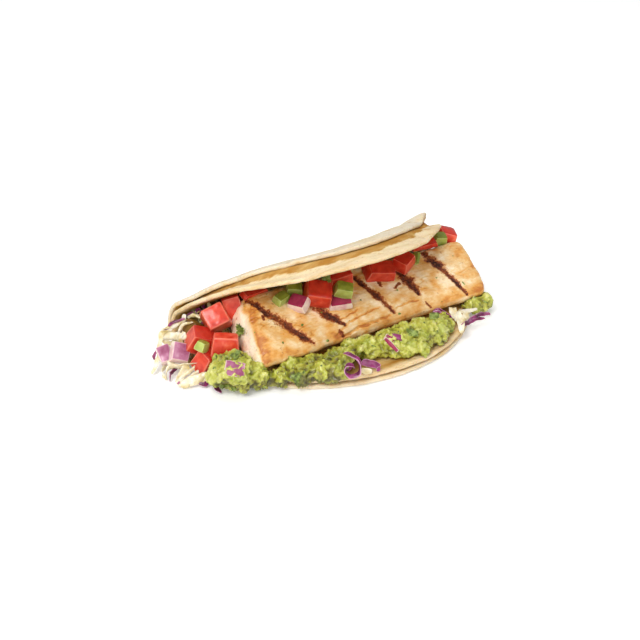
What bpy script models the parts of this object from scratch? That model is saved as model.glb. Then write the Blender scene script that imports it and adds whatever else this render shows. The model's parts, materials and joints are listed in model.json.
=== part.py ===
"""A soft taco lying on its side: two thin maize tortillas folded together round a grilled fillet,
guacamole, cabbage salad and diced tomato, onion and green pepper.

The fold runs along X at the back, the mouth opens to the front (-Y) and a little upwards, and the
taco rests on the flat half of its outer tortilla. The origin is the middle of that flat underside.
"""

import math

import bmesh
import bpy
from mathutils import Euler, Vector

MM = 0.001

# Tortillas: two discs, one inside the other, folded a little behind their middle line.
TORTILLA_RADIUS = 76.0 * MM
TORTILLA_THICKNESS = 2.3 * MM
SHEET_GAP = 0.7 * MM
FOLD_SLACK = 0.35 * MM  # how much wider still the outer one's fold is than the inner one's
DISC_MIDDLE_Y = 38.0 * MM  # so that the front rim lies at Y = -38 mm
FOLD_Y = 36.7 * MM  # where the flat half ends and the fold begins
FOLD_RADIUS = 7.0 * MM  # inside radius of the fold

# Slope of each folded half in degrees: at the fold (middle, change along X, growth to both ends),
# at its rim (the same three), and the length over which it bends from the one to the other. Then,
# for each end, how far from X = 0 it begins to curl, its rise CURL_RUN past that, and the power
# with which the rise grows.
INNER_LID = {
    "fold": (31.6, 1.4, 4.2),
    "rim": (1.1, -5.8, 28.6),
    "droop": 35.1 * MM,
    "right": (36.0 * MM, 4.0 * MM, 0.8),
    "left": (34.0 * MM, 1.2 * MM, 1.5),
}
OUTER_LID = {
    "fold": (32.7, 1.4, 13.8),
    "rim": (10.1, -12.5, 12.2),
    "droop": 20.8 * MM,
    "right": (44.0 * MM, 16.0 * MM, 1.8),
    "left": (34.0 * MM, -0.8 * MM, 1.5),
}
INNER_SHIFT = -2.0 * MM  # how far along X each disc's middle lies from the origin
OUTER_SHIFT = -2.4 * MM
CURL_RUN = 20.0 * MM
CURL_SPREAD = 30.0 * MM  # a curl reaches its full height this far from the fold

ROWS = [(-1.0, -0.05, 3), (-0.05, 0.35, 10), (0.35, 1.0, 6)]  # share of the half chord, count
COLUMNS = 21
LAST_COLUMN = math.radians(86.0)  # the columns lie at angles round the disc, out to this one
COLUMN_CROWDING = 0.75  # how much closer together they are towards both ends
LID_STEPS = 16  # straight steps that the bent lid is summed from
SQUASH_FROM = -50.0 * MM  # beyond this X the left end is pressed blunter
SQUASH = 0.85

# Fillet: a tilted slab, thick at the back and thin at its front edge, with ends cut on the bias.
FILLET_TOP = {  # corners of its top face in millimetres
    "back_left": (-50.5, 21.2, 29.0),
    "front_left": (-62.0, -12.6, 12.8),
    "front_right": (65.8, -14.6, 13.4),
    "back_right": (71.8, 14.8, 27.0),
}
FILLET_TILT = math.radians(25.0)
FILLET_BACK_THICKNESS = 16.0 * MM
FILLET_FRONT_THICKNESS = 7.0 * MM
FILLET_END_SLOPE = {"left": -8.0 * MM, "right": 3.0 * MM}  # how far the lower edge runs out
FILLET_END_BULGE = 0.4  # share of that by which the end bulges out half way up its back edge
FILLET_STATIONS = 10
CREASE_AT = 0.80  # share of the width, from the back, where the top bends down to the front strip
CREASE_DROP = 1.2 * MM

CLEARANCE = 0.5 * MM  # left between two firm pieces that are pressed together
SOFT_CLEARANCE = 1.15 * MM  # left between a soft filling and what is pressed into it
ROOM_VOXEL = 0.9 * MM

# Diced pieces in millimetres and degrees: middle, size along its own axes, turn about X, Y and Z.
TOMATOES = [
    ((-63.6, 22.4, 21.2), (11.5, 11.5, 9.5), (47, -21, -16)),
    ((-52.8, 25.2, 22.4), (11.0, 9.0, 12.0), (-14, 6, 62)),
    ((-73.0, 20.4, 14.0), (11.5, 9.0, 10.0), (20, 21, -20)),
    ((-68.2, 7.8, 15.4), (12.5, 9.0, 9.0), (-6, 4, -34)),
    ((-75.6, 11.6, 8.0), (9.5, 9.0, 9.5), (24, 14, 12)),
    ((-19.8, 6.2, 26.8), (13.0, 10.5, 9.5), (34, 12, -28)),
    ((-5.4, 10.2, 29.0), (12.5, 8.0, 7.5), (20, -4, -6)),
    ((17.2, 8.4, 26.8), (14.5, 9.0, 6.6), (28, 10, -16)),
    ((31.2, 8.6, 27.8), (9.6, 8.6, 6.4), (18, -16, 20)),
    ((68.0, 21.6, 25.7), (9.0, 8.5, 8.5), (10, 20, -22)),
    ((-43.5, 21.4, 28.6), (14.0, 4.4, 2.4), (26, 2, 8)),
    ((50.6, 17.2, 28.4), (14.0, 5.0, 2.6), (27, 0, -8)),
]
ONIONS = [
    ((-30.5, 6.0, 25.4), (8.6, 7.0, 4.4), (32, 2, -63)),
    ((-11.4, 1.2, 22.4), (11.0, 7.0, 3.4), (29, -1, -19)),
    ((-82.0, 23.0, 9.6), (8.4, 9.0, 4.6), (51, 18, -27)),
    ((-86.2, 29.0, 7.4), (6.4, 8.6, 3.6), (39, -15, -18)),
    ((-75.2, -9.6, 12.8), (9.5, 8.0, 3.6), (38, 14, -31)),
]
PEPPERS = [
    ((-35.6, 12.0, 26.6), (7.2, 5.0, 4.4), (22, -8, 12)),
    ((-27.6, 13.4, 29.0), (7.5, 6.0, 4.0), (24, 6, -30)),
    ((-9.2, 0.8, 28.0), (8.4, 6.0, 5.5), (30, 14, -30)),
    ((39.9, 9.6, 26.6), (1.8, 6.4, 3.2), (60, 30, -12)),
    ((60.8, 17.8, 28.2), (6.5, 5.5, 5.0), (22, 8, -14)),
    ((-77.4, 11.9, 16.1), (5.5, 4.5, 4.0), (12, 18, 26)),
    ((-69.6, 32.0, 13.4), (8.0, 7.0, 7.5), (10, 28, 14)),
]

# Guacamole in millimetres: middle and radius of each spoonful, from the left end to the right.
GUACAMOLE_LUMPS = [
    ((-71.5, -5.0, 10.0), 8.6), ((-65.0, -9.5, 7.0), 6.4), ((-77.0, -3.0, 8.5), 6.4),
    ((-71.0, -10.5, 5.4), 4.4), ((-72.0, 2.0, 9.0), 7.0), ((-62.5, -12.5, 4.2), 3.4),
    ((-55.5, -16.0, 5.4), 4.4), ((-48.0, -21.5, 6.4), 5.2), ((-40.0, -25.0, 7.2), 5.8),
    ((-31.5, -27.5, 7.8), 6.2), ((-22.5, -25.5, 8.4), 6.2), ((-13.0, -22.5, 8.8), 6.4),
    ((-47.0, -12.0, 6.6), 5.0), ((-38.0, -16.0, 6.8), 5.0), ((-28.0, -17.5, 7.2), 5.2),
    ((-18.0, -15.5, 7.4), 5.2),
    ((-3.5, -25.5, 9.4), 7.6), ((4.0, -27.0, 9.6), 8.4), ((13.0, -27.0, 9.4), 8.2),
    ((21.5, -25.5, 8.8), 7.4), ((27.5, -23.0, 7.8), 6.2), ((34.0, -19.0, 7.2), 5.0),
    ((-56.0, -6.0, 7.4), 5.0), ((7.0, -34.0, 6.4), 4.6),
    ((-1.0, -32.0, 6.2), 4.2), ((19.0, -31.0, 6.4), 4.8), ((-36.0, -29.5, 6.8), 4.2),
    ((-26.0, -31.5, 6.4), 3.8),
]
# What has squeezed out under the fillet's right end, beyond the cabbage.
RIGHT_GUACAMOLE_LUMPS = [
    ((53.5, -12.0, 6.8), 4.2), ((58.0, -12.6, 6.8), 4.8), ((62.0, -12.6, 6.2), 5.0),
    ((65.0, -10.0, 5.6), 4.0),
]

# Cabbage in millimetres: middle and radius of each tuft. The salad's tufts spill out of its wedge.
SALAD_TUFTS = [
    ((-71.0, 25.0, 8.0), 6.0), ((-77.5, 27.0, 8.0), 6.0), ((-84.0, 31.0, 7.5), 5.0),
    ((-79.0, 36.5, 10.0), 5.5), ((-84.0, 20.0, 4.8), 4.4), ((-80.0, 11.5, 4.8), 4.4),
    ((-71.0, 12.0, 8.0), 5.6), ((-86.5, 13.0, 3.6), 3.2), ((-89.0, 27.0, 3.8), 3.4),
]
FRONT_TUFTS = [
    ((-21.0, -25.5, 9.6), 2.6), ((-22.5, -29.0, 9.0), 2.8), ((-26.0, -31.0, 8.6), 2.8),
    ((-29.6, -31.2, 8.2), 2.8), ((-20.0, -32.0, 8.0), 2.4), ((-17.0, -34.6, 7.6), 2.2),
]
RIGHT_TUFTS = [
    ((34.5, -14.4, 10.0), 2.4), ((37.0, -18.0, 9.4), 2.8), ((39.5, -22.0, 8.6), 2.8),
    ((38.6, -26.4, 8.0), 2.6), ((44.0, -25.0, 8.0), 2.6), ((49.5, -25.0, 7.6), 2.2),
]
WEDGE_LEFT, WEDGE_RIGHT = -0.93, 0.90  # ends of the main wedge, as shares of the tortilla's radius
WEDGE_FRONT_Y = 9.0 * MM  # it reaches from here to the fold
WEDGE_LID_SHARE = 0.55  # and this share of the half chord up under the folded half
WEDGE_INSET = 1.2 * MM  # from the tortilla's inside face
WEDGE_STATIONS = 16
WEDGE_POINTS = 18
FLOOR_CLEARANCE = 0.3 * MM  # what spills over the rim stops short of the surface below


def clear_scene():
    for obj in list(bpy.data.objects):
        bpy.data.objects.remove(obj, do_unlink=True)


def new_collection(name, hidden=False):
    collection = bpy.data.collections.new(name)
    bpy.context.scene.collection.children.link(collection)
    collection.hide_render = hidden
    return collection


def new_material(name, colour, roughness):
    material = bpy.data.materials.new(name)
    material.use_nodes = True
    shader = material.node_tree.nodes["Principled BSDF"]
    shader.inputs["Base Color"].default_value = (*colour, 1.0)
    shader.inputs["Roughness"].default_value = roughness
    shader.inputs["Metallic"].default_value = 0.0
    return material


def object_from(shape, name, collection, material=None):
    """Turns a bmesh into a named object and frees the bmesh."""
    mesh = bpy.data.meshes.new(name)
    shape.to_mesh(mesh)
    shape.free()
    mesh.shade_smooth()
    obj = bpy.data.objects.new(name, mesh)
    collection.objects.link(obj)
    if material is not None:
        mesh.materials.append(material)
    return obj


def lid_slope(lid, end, x):
    """Slope of the folded half at x along the fold, at one of its ends: "fold" or "rim"."""
    share = x / TORTILLA_RADIUS
    return math.radians(sum(k * share**i for i, k in enumerate(lid[end])))


def lid_start(lid, x, radius):
    """How far across the disc the fold ends and the folded half begins."""
    return FOLD_Y - DISC_MIDDLE_Y + radius * (math.pi - lid_slope(lid, "fold", x))


def folded(x, s, half_chord, lid, radius, height):
    """Point of a folded sheet at x along the fold and s across it, on the face inside the fold."""
    near, far = lid_slope(lid, "fold", x), lid_slope(lid, "rim", x)
    fold_start, fold_end = FOLD_Y - DISC_MIDDLE_Y, lid_start(lid, x, radius)
    y, z = min(s, fold_start) + DISC_MIDDLE_Y, height
    if s > fold_start:
        turn = (min(s, fold_end) - fold_start) / radius
        y += radius * math.sin(turn)
        z += radius * (1.0 - math.cos(turn))
    step = max(s - fold_end, 0.0) / LID_STEPS
    for i in range(LID_STEPS):
        to_rim = half_chord - (fold_end + (i + 0.5) * step)
        bend = max(0.0, 1.0 - to_rim / lid["droop"]) ** 2
        slope = near + (far - near) * bend
        y -= math.cos(slope) * step
        z += math.sin(slope) * step
    for end, side in (("left", -1.0), ("right", 1.0)):
        start, rise, power = lid[end]
        past = max(0.0, side * x - start) / CURL_RUN
        z += rise * past**power * min(1.0, max(0.0, s - fold_end) / CURL_SPREAD)
    return Vector((max(x, SQUASH_FROM + (x - SQUASH_FROM) * SQUASH), y, z))


def inner_point(x, s, half_chord, inset=0.0):
    """Point on the inner tortilla's inside face, or set in from it towards the filling."""
    x += INNER_SHIFT
    height = 2.0 * TORTILLA_THICKNESS + SHEET_GAP + inset
    return folded(x, s, half_chord, INNER_LID, FOLD_RADIUS - inset, height)


def outer_point(x, s, half_chord):
    """Point on the outer tortilla's inside face."""
    x += OUTER_SHIFT
    radius = FOLD_RADIUS + TORTILLA_THICKNESS + SHEET_GAP + FOLD_SLACK
    return folded(x, s, half_chord, OUTER_LID, radius, TORTILLA_THICKNESS)


def across_shares():
    """Shares of the half chord at which a sheet has its rows, close together round the fold."""
    shares = [ROWS[0][0]]
    for start, end, count in ROWS:
        shares += [start + (end - start) * (i + 1) / count for i in range(count)]
    return shares


def column_angle(place):
    """Angle round the disc of a column placed from -1, the left end, to 1, the right end."""
    crowded = math.sin(place * math.pi / 2.0)
    return LAST_COLUMN * (COLUMN_CROWDING * crowded + (1.0 - COLUMN_CROWDING) * place)


def make_tortilla(name, point, collection, material):
    """A disc laid out in columns across the fold, bent by a point function, then given its wall."""
    shares = across_shares()
    shape = bmesh.new()
    bmesh.ops.create_grid(shape, x_segments=COLUMNS, y_segments=len(shares) - 1, size=1.0)
    for vert in shape.verts:
        column = round((vert.co.x + 1.0) / 2.0 * COLUMNS)
        row = round((vert.co.y + 1.0) / 2.0 * (len(shares) - 1))
        angle = column_angle(2.0 * column / COLUMNS - 1.0)
        half_chord = TORTILLA_RADIUS * math.cos(angle)
        vert.co = point(TORTILLA_RADIUS * math.sin(angle), shares[row] * half_chord, half_chord)
    obj = object_from(shape, name, collection, material)
    wall = obj.modifiers.new("wall", "SOLIDIFY")
    wall.thickness = TORTILLA_THICKNESS
    wall.offset = -1.0
    return obj


def fillet_section(share):
    """Cage points round the fillet at a share of its length, from the top's back corner."""
    corner = {name: Vector(place) * MM for name, place in FILLET_TOP.items()}
    back = corner["back_left"].lerp(corner["back_right"], share)
    front = corner["front_left"].lerp(corner["front_right"], share)
    up = Vector((0.0, -math.sin(FILLET_TILT), math.cos(FILLET_TILT)))
    run_out = FILLET_END_SLOPE["left"] * max(0.0, 1.0 - 6.0 * share)
    run_out += FILLET_END_SLOPE["right"] * max(0.0, 6.0 * share - 5.0)
    slope = Vector((run_out, 0.0, 0.0))
    crease = back.lerp(front, CREASE_AT)
    low_back = back - up * FILLET_BACK_THICKNESS + slope
    low_front = front - up * FILLET_FRONT_THICKNESS + slope * 0.5
    return [
        back,
        back.lerp(front, 0.3) + up * 0.6 * MM,
        back.lerp(front, 0.6) + up * 0.4 * MM,
        crease,
        front - up * CREASE_DROP,
        low_front,
        low_back.lerp(low_front, 0.6),
        low_back.lerp(low_front, 0.2),
        low_back.lerp(back, 0.12),
        low_back.lerp(back, 0.75) + slope * FILLET_END_BULGE,
    ]


def make_fillet(collection, material):
    """A loft of ten-sided sections, smoothed by subdivision."""
    shape = bmesh.new()
    rings = []
    for i in range(FILLET_STATIONS + 1):
        share = 0.5 - 0.5 * math.cos(math.pi * i / FILLET_STATIONS)
        rings.append([shape.verts.new(point) for point in fillet_section(share)])
    for ring, following in zip(rings, rings[1:]):
        for i in range(len(ring)):
            j = (i + 1) % len(ring)
            shape.faces.new((ring[i], ring[j], following[j], following[i]))
    shape.faces.new(reversed(rings[0]))
    shape.faces.new(rings[-1])
    bmesh.ops.recalc_face_normals(shape, faces=shape.faces)
    obj = object_from(shape, "grilled_fillet", collection, material)
    smooth = obj.modifiers.new("smooth", "SUBSURF")
    smooth.levels = smooth.render_levels = 1
    return obj


def make_dice(name, middle, size, turn, taper, collection, material):
    """A knife-cut block: a cube that narrows a little towards its top, with softened edges."""
    shape = bmesh.new()
    bmesh.ops.create_cube(shape, size=1.0)
    for vert in shape.verts:
        narrowing = 1.0 - taper * (vert.co.z + 0.5)
        vert.co.x = vert.co.x * narrowing + 0.10 * taper * vert.co.z
        vert.co.y *= narrowing
        vert.co = Vector(vert.co[i] * size[i] * MM for i in range(3))
    bmesh.ops.bevel(
        shape,
        geom=shape.edges[:] + shape.verts[:],
        offset=0.14 * min(size) * MM,
        segments=1,
        profile=0.5,
        affect="EDGES",
    )
    obj = object_from(shape, name, collection, material)
    turned = Euler([math.radians(angle) for angle in turn]).to_matrix().to_4x4()
    turned.translation = Vector(middle) * MM
    obj.matrix_world = turned
    return obj


def make_dice_set(kind, pieces, taper, collection, material):
    made = []
    for i, (middle, size, turn) in enumerate(pieces):
        name = f"{kind}_{i + 1:02d}"
        made.append(make_dice(name, middle, size, turn, taper, collection, material))
    return made


def add_lumps(shape, lumps):
    for middle, radius in lumps:
        made = bmesh.ops.create_icosphere(shape, subdivisions=2, radius=radius * MM)
        for vert in made["verts"]:
            vert.co += Vector(middle) * MM
            vert.co.z = max(vert.co.z, FLOOR_CLEARANCE)


def add_wedge(shape):
    """The main body of salad: it lies in the fold of the inner tortilla, from end to end."""
    rings = []
    for i in range(WEDGE_STATIONS + 1):
        share = WEDGE_LEFT + (WEDGE_RIGHT - WEDGE_LEFT) * i / WEDGE_STATIONS
        x = TORTILLA_RADIUS * share
        half_chord = TORTILLA_RADIUS * math.sqrt(1.0 - share * share)
        start = max(WEDGE_FRONT_Y - DISC_MIDDLE_Y, -0.9 * half_chord)
        end = WEDGE_LID_SHARE * half_chord
        ring = []
        for j in range(WEDGE_POINTS):
            s = start + (end - start) * j / (WEDGE_POINTS - 1)
            ring.append(shape.verts.new(inner_point(x, s, half_chord, inset=WEDGE_INSET)))
        rings.append(ring)
    for ring, following in zip(rings, rings[1:]):
        for j in range(WEDGE_POINTS):
            k = (j + 1) % WEDGE_POINTS
            shape.faces.new((ring[j], following[j], following[k], ring[k]))
    shape.faces.new(rings[0])
    shape.faces.new(reversed(rings[-1]))


def add_skin(obj, voxel):
    """Fuses overlapping closed shapes into one skin."""
    skin = obj.modifiers.new("skin", "REMESH")
    skin.mode = "VOXEL"
    skin.voxel_size = voxel


def make_heap(name, lumps, collection, material):
    """Spoonfuls of mash or tufts of cabbage run together, out to their outline."""
    shape = bmesh.new()
    add_lumps(shape, lumps)
    return object_from(shape, name, collection, material)


def make_salad(collection, material):
    """Shredded cabbage: a wedge in the fold, from end to end, that spills out on the left."""
    shape = bmesh.new()
    add_wedge(shape)
    add_lumps(shape, SALAD_TUFTS)
    bmesh.ops.recalc_face_normals(shape, faces=shape.faces)
    return object_from(shape, "cabbage_salad", collection, material)


def reach(obj):
    """Lowest and highest corners of an object's box in the world."""
    corners = [obj.matrix_world @ Vector(corner) for corner in obj.bound_box]
    return [[pick(c[i] for c in corners) for i in range(3)] for pick in (min, max)]


def apart(one, other):
    (low_a, high_a), (low_b, high_b) = reach(one), reach(other)
    return any(
        low_a[i] > high_b[i] + CLEARANCE or low_b[i] > high_a[i] + CLEARANCE for i in range(3)
    )


def make_room(obj, neighbours, cutters):
    """Cuts from a firm piece the space of each neighbour near it, and a clearance round that."""
    for neighbour in neighbours:
        bpy.context.view_layer.update()
        if apart(obj, neighbour):
            continue
        graph = bpy.context.evaluated_depsgraph_get()
        mesh = bpy.data.meshes.new_from_object(neighbour.evaluated_get(graph))
        cutter = bpy.data.objects.new(f"room_for_{neighbour.name}_in_{obj.name}", mesh)
        cutter.matrix_world = neighbour.matrix_world
        cutters.objects.link(cutter)
        cutter.hide_render = True
        cutter.display_type = "WIRE"
        swell = cutter.modifiers.new("clearance", "DISPLACE")
        swell.mid_level = 0.0
        swell.strength = CLEARANCE
        cut = obj.modifiers.new(f"room_for_{neighbour.name}", "BOOLEAN")
        cut.operation = "DIFFERENCE"
        cut.object = cutter


def make_soft_room(obj, neighbours, cutters):
    """Cuts from a soft filling the space of all its neighbours at once, fused into one cutter."""
    bpy.context.view_layer.update()
    graph = bpy.context.evaluated_depsgraph_get()
    shape = bmesh.new()
    for neighbour in neighbours:
        if not apart(obj, neighbour):
            mesh = bpy.data.meshes.new_from_object(neighbour.evaluated_get(graph))
            mesh.transform(neighbour.matrix_world)
            shape.from_mesh(mesh)
    mesh = bpy.data.meshes.new(f"room_in_{obj.name}")
    shape.to_mesh(mesh)
    shape.free()
    cutter = bpy.data.objects.new(mesh.name, mesh)
    cutters.objects.link(cutter)
    cutter.hide_render = True
    cutter.display_type = "WIRE"
    swell = cutter.modifiers.new("clearance", "DISPLACE")
    swell.mid_level = 0.0
    swell.strength = SOFT_CLEARANCE
    add_skin(cutter, ROOM_VOXEL)
    cut = obj.modifiers.new("room", "BOOLEAN")
    cut.operation = "DIFFERENCE"
    cut.object = cutter


def settle_soft(obj, neighbours, voxel, triangles, cutters):
    """Fuses a soft filling, presses its neighbours into it and thins its skin to a size."""
    add_skin(obj, voxel)
    make_soft_room(obj, neighbours, cutters)
    add_skin(obj, voxel)
    keep_largest(obj)
    thin = obj.modifiers.new("thin", "DECIMATE")
    thin.ratio = triangles / (2 * len(obj.data.polygons))


def keep_largest(obj):
    """Keeps the largest body of what the modifiers make, without crumbs, as the object's mesh."""
    graph = bpy.context.evaluated_depsgraph_get()
    shape = bmesh.new()
    shape.from_mesh(bpy.data.meshes.new_from_object(obj.evaluated_get(graph)))
    bodies = []
    left = set(shape.verts)
    while left:
        body = [left.pop()]
        for vert in body:
            near = {edge.other_vert(vert) for edge in vert.link_edges} & left
            left -= near
            body += near
        bodies.append(body)
    bodies.sort(key=len)
    for crumb in bodies[:-1]:
        bmesh.ops.delete(shape, geom=crumb, context="VERTS")
    obj.modifiers.clear()
    shape.to_mesh(obj.data)
    shape.free()


def main():
    clear_scene()
    taco = new_collection("taco")
    cutters = new_collection("cutters", hidden=True)
    masa = new_material("maize_tortilla", (0.80, 0.66, 0.42), 0.75)
    meat = new_material("grilled_white_flesh", (0.80, 0.52, 0.24), 0.45)
    avocado = new_material("mashed_avocado", (0.42, 0.50, 0.10), 0.50)
    red = new_material("tomato_flesh", (0.72, 0.07, 0.03), 0.25)
    purple = new_material("red_onion", (0.50, 0.12, 0.25), 0.30)
    green = new_material("green_pepper", (0.25, 0.33, 0.04), 0.30)
    pale = new_material("shredded_cabbage", (0.60, 0.55, 0.36), 0.50)
    firm = [
        make_tortilla("tortilla_outer", outer_point, taco, masa),
        make_tortilla("tortilla_inner", inner_point, taco, masa),
        make_fillet(taco, meat),
    ]
    diced = make_dice_set("onion", ONIONS, 0.14, taco, purple)
    diced += make_dice_set("pepper", PEPPERS, 0.18, taco, green)
    diced += make_dice_set("tomato", TOMATOES, 0.16, taco, red)
    for dice in diced:
        make_room(dice, firm, cutters)
        firm.append(dice)
    soft = [
        (make_heap("cabbage_front", FRONT_TUFTS, taco, purple), 0.8 * MM, 220),
        (make_heap("cabbage_right", RIGHT_TUFTS, taco, pale), 0.8 * MM, 220),
        (make_salad(taco, pale), 1.1 * MM, 1500),
        (make_heap("guacamole", GUACAMOLE_LUMPS, taco, avocado), 1.0 * MM, 1900),
        (make_heap("guacamole_right", RIGHT_GUACAMOLE_LUMPS, taco, avocado), 0.8 * MM, 260),
    ]
    for filling, voxel, triangles in soft:
        settle_soft(filling, firm, voxel, triangles, cutters)
        firm.append(filling)


main()
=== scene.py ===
"""Looks of the soft taco: griddled tortillas, grilled fillet, guacamole, dice and cabbage.

Sizes are in metres, written as millimetres times MM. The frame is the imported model's: +X along the
fold, +Y to the fold at the back, +Z up, and the taco rests on the floor at Z = 0.
"""

import json
import math

import bmesh
import bpy
import numpy as np
from mathutils import Euler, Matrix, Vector, noise
from mathutils.bvhtree import BVHTree

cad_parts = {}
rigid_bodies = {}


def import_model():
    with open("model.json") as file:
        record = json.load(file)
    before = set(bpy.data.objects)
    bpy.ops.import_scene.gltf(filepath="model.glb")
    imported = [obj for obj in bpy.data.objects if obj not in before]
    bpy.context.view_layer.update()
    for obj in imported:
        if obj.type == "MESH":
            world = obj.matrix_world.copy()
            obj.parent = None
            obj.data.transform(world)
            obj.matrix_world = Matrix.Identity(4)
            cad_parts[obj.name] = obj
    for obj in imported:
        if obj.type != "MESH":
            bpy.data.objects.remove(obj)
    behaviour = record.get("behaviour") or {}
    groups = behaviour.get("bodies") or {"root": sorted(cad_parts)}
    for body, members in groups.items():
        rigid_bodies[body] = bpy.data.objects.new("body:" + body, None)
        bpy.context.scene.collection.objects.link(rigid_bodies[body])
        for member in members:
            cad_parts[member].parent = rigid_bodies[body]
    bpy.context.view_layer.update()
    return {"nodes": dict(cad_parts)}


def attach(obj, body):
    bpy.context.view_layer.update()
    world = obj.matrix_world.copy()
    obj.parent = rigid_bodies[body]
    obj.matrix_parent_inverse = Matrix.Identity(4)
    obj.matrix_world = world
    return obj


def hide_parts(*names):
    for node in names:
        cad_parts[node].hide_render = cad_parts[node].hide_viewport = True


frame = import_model()

MM = 0.001

# ---------------------------------------------------------------- sizes shared with the solids
TORTILLA_RADIUS = 76.0 * MM
TORTILLA_THICKNESS = 2.3 * MM
SHEET_GAP = 0.7 * MM
FOLD_SLACK = 0.35 * MM
DISC_MIDDLE_Y = 38.0 * MM
FOLD_Y = 36.7 * MM
FOLD_RADIUS = 7.0 * MM
OUTER_FOLD_RADIUS = FOLD_RADIUS + TORTILLA_THICKNESS + SHEET_GAP + FOLD_SLACK
INNER_LID = {
    "fold": (31.6, 1.4, 4.2),
    "rim": (1.1, -5.8, 28.6),
    "droop": 35.1 * MM,
    "right": (36.0 * MM, 4.0 * MM, 0.8),
    "left": (34.0 * MM, 1.2 * MM, 1.5),
}
OUTER_LID = {
    "fold": (32.7, 1.4, 13.8),
    "rim": (10.1, -12.5, 12.2),
    "droop": 20.8 * MM,
    "right": (44.0 * MM, 16.0 * MM, 1.8),
    "left": (34.0 * MM, -0.8 * MM, 1.5),
}
INNER_SHIFT = -2.0 * MM
OUTER_SHIFT = -2.4 * MM
CURL_RUN = 20.0 * MM
CURL_SPREAD = 30.0 * MM
LID_STEPS = 16
SQUASH_FROM = -50.0 * MM
SQUASH = 0.85

FILLET_TOP = {
    "back_left": (-50.5, 21.2, 29.0),
    "front_left": (-62.0, -12.6, 12.8),
    "front_right": (65.8, -14.6, 13.4),
    "back_right": (71.8, 14.8, 27.0),
}
FILLET_TILT = math.radians(25.0)
FILLET_BACK_THICKNESS = 16.0 * MM
FILLET_FRONT_THICKNESS = 7.0 * MM
FILLET_END_SLOPE = {"left": -8.0 * MM, "right": 3.0 * MM}
FILLET_END_BULGE = 0.4
CREASE_AT = 0.80
CREASE_DROP = 1.2 * MM


# ------------------------------------------------------------------------------- small helpers
def linear(colour):
    """An sRGB hex colour as linear red, green and blue, with full alpha."""
    channels = [int(colour[i : i + 2], 16) / 255.0 for i in (1, 3, 5)]
    return (*(c / 12.92 if c <= 0.04045 else ((c + 0.055) / 1.055) ** 2.4 for c in channels), 1.0)


def per(size):
    """Scale of a pattern whose features are size millimetres wide."""
    return 1.0 / (size * MM)


def add(tree, kind, inputs=None, **settings):
    """Adds a node with its settings and its inputs, each a value or a link."""
    made = tree.nodes.new(kind)
    for name, value in settings.items():
        setattr(made, name, value)
    for name, value in (inputs or {}).items():
        if isinstance(value, bpy.types.NodeSocket):
            tree.links.new(value, made.inputs[name])
        else:
            made.inputs[name].default_value = value
    return made


def out(tree, kind, inputs=None, **settings):
    """Adds a node and gives its first output."""
    return add(tree, kind, inputs, **settings).outputs[0]


def calc(tree, operation, *values, kind="Math", **named):
    """Result of an operation on numbers or, where kind is VectorMath, on vectors."""
    inputs = {**dict(enumerate(values)), **named}
    return out(tree, f"ShaderNode{kind}", inputs, operation=operation)


def rescaled(tree, value, span, to_span, **settings):
    """A value mapped from one span to another, without leaving it."""
    names = ("Value", "From Min", "From Max", "To Min", "To Max")
    inputs = dict(zip(names, (value, *span, *to_span)))
    return out(tree, "ShaderNodeMapRange", inputs, **settings)


def noise_at(tree, place, size, detail, **more):
    """A noise whose features are size millimetres wide."""
    inputs = {"Vector": place, "Scale": per(size), "Detail": detail, **more}
    return add(tree, "ShaderNodeTexNoise", inputs).outputs["Fac"]


def ramp(tree, value, stops):
    """Colour of a ramp at a value; each stop is a place and a hex colour or a shade of grey."""
    made = add(tree, "ShaderNodeValToRGB", {"Fac": value})
    elements = made.color_ramp.elements
    while len(elements) < len(stops):
        elements.new(1.0)
    for element, (position, colour) in zip(elements, stops):
        element.position = position
        element.color = linear(colour) if isinstance(colour, str) else (*(colour,) * 3, 1.0)
    return made.outputs["Color"]


def blend(tree, factor, low, high, mode="MIX"):
    """Output of a colour mix; each input is a hex colour or a socket."""
    colours = {6: low, 7: high}
    inputs = {i: linear(c) if isinstance(c, str) else c for i, c in colours.items()}
    inputs[0] = factor
    return add(tree, "ShaderNodeMix", inputs, data_type="RGBA", blend_type=mode).outputs[2]


def object_place(tree, along=1.0):
    """Place on the object; below 1, along draws the patterns out along X."""
    place = add(tree, "ShaderNodeTexCoord").outputs["Object"]
    if along == 1.0:
        return place
    return out(tree, "ShaderNodeMapping", {"Vector": place, "Scale": (along, 1.0, 1.0)})


def painted(tree, name):
    """A number that paint() stored on the mesh."""
    return add(tree, "ShaderNodeAttribute", attribute_name=name).outputs["Fac"]


def start_material(name, glow=None, coat=None, **sockets):
    """A material with only a Principled shader, whose plain sockets are set by name. glow is the
    weight, radii and scale of the light inside it, and coat the weight and roughness of its juice."""
    material = bpy.data.materials.new(name)
    material.use_nodes = True
    tree = material.node_tree
    shader = tree.nodes["Principled BSDF"]
    if glow:
        sockets.update(zip(("Subsurface Weight", "Subsurface Radius", "Subsurface Scale"), glow))
    if coat:
        sockets.update(zip(("Coat Weight", "Coat Roughness"), coat))
    for socket, value in sockets.items():
        shader.inputs[socket.replace("_", " ")].default_value = value
    return material, tree, shader


def finish_surface(tree, shader, colour, height=None, strength=0.3, depth=0.3):
    """Gives a shader its colour and, for a height, a relief of a depth in millimetres."""
    tree.links.new(colour, shader.inputs["Base Color"])
    if height is not None:
        inputs = {"Height": height, "Strength": strength, "Distance": depth * MM}
        tree.links.new(out(tree, "ShaderNodeBump", inputs), shader.inputs["Normal"])


def wobble(points, size, seed, octaves=1):
    """Smooth noise between about -1 and 1 at each point, with bumps of a size in metres."""
    shift = Vector((17.3, 31.7, 5.9)) * seed
    return np.array([noise.fractal(Vector(p) / size + shift, 1.0, 2.0, octaves) for p in points])


def wobbles(points, size, seeds, octaves):
    """Smooth noise of one size for each of several seeds, side by side."""
    return np.stack([wobble(points, size, seed, octaves) for seed in seeds], axis=1)


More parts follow.
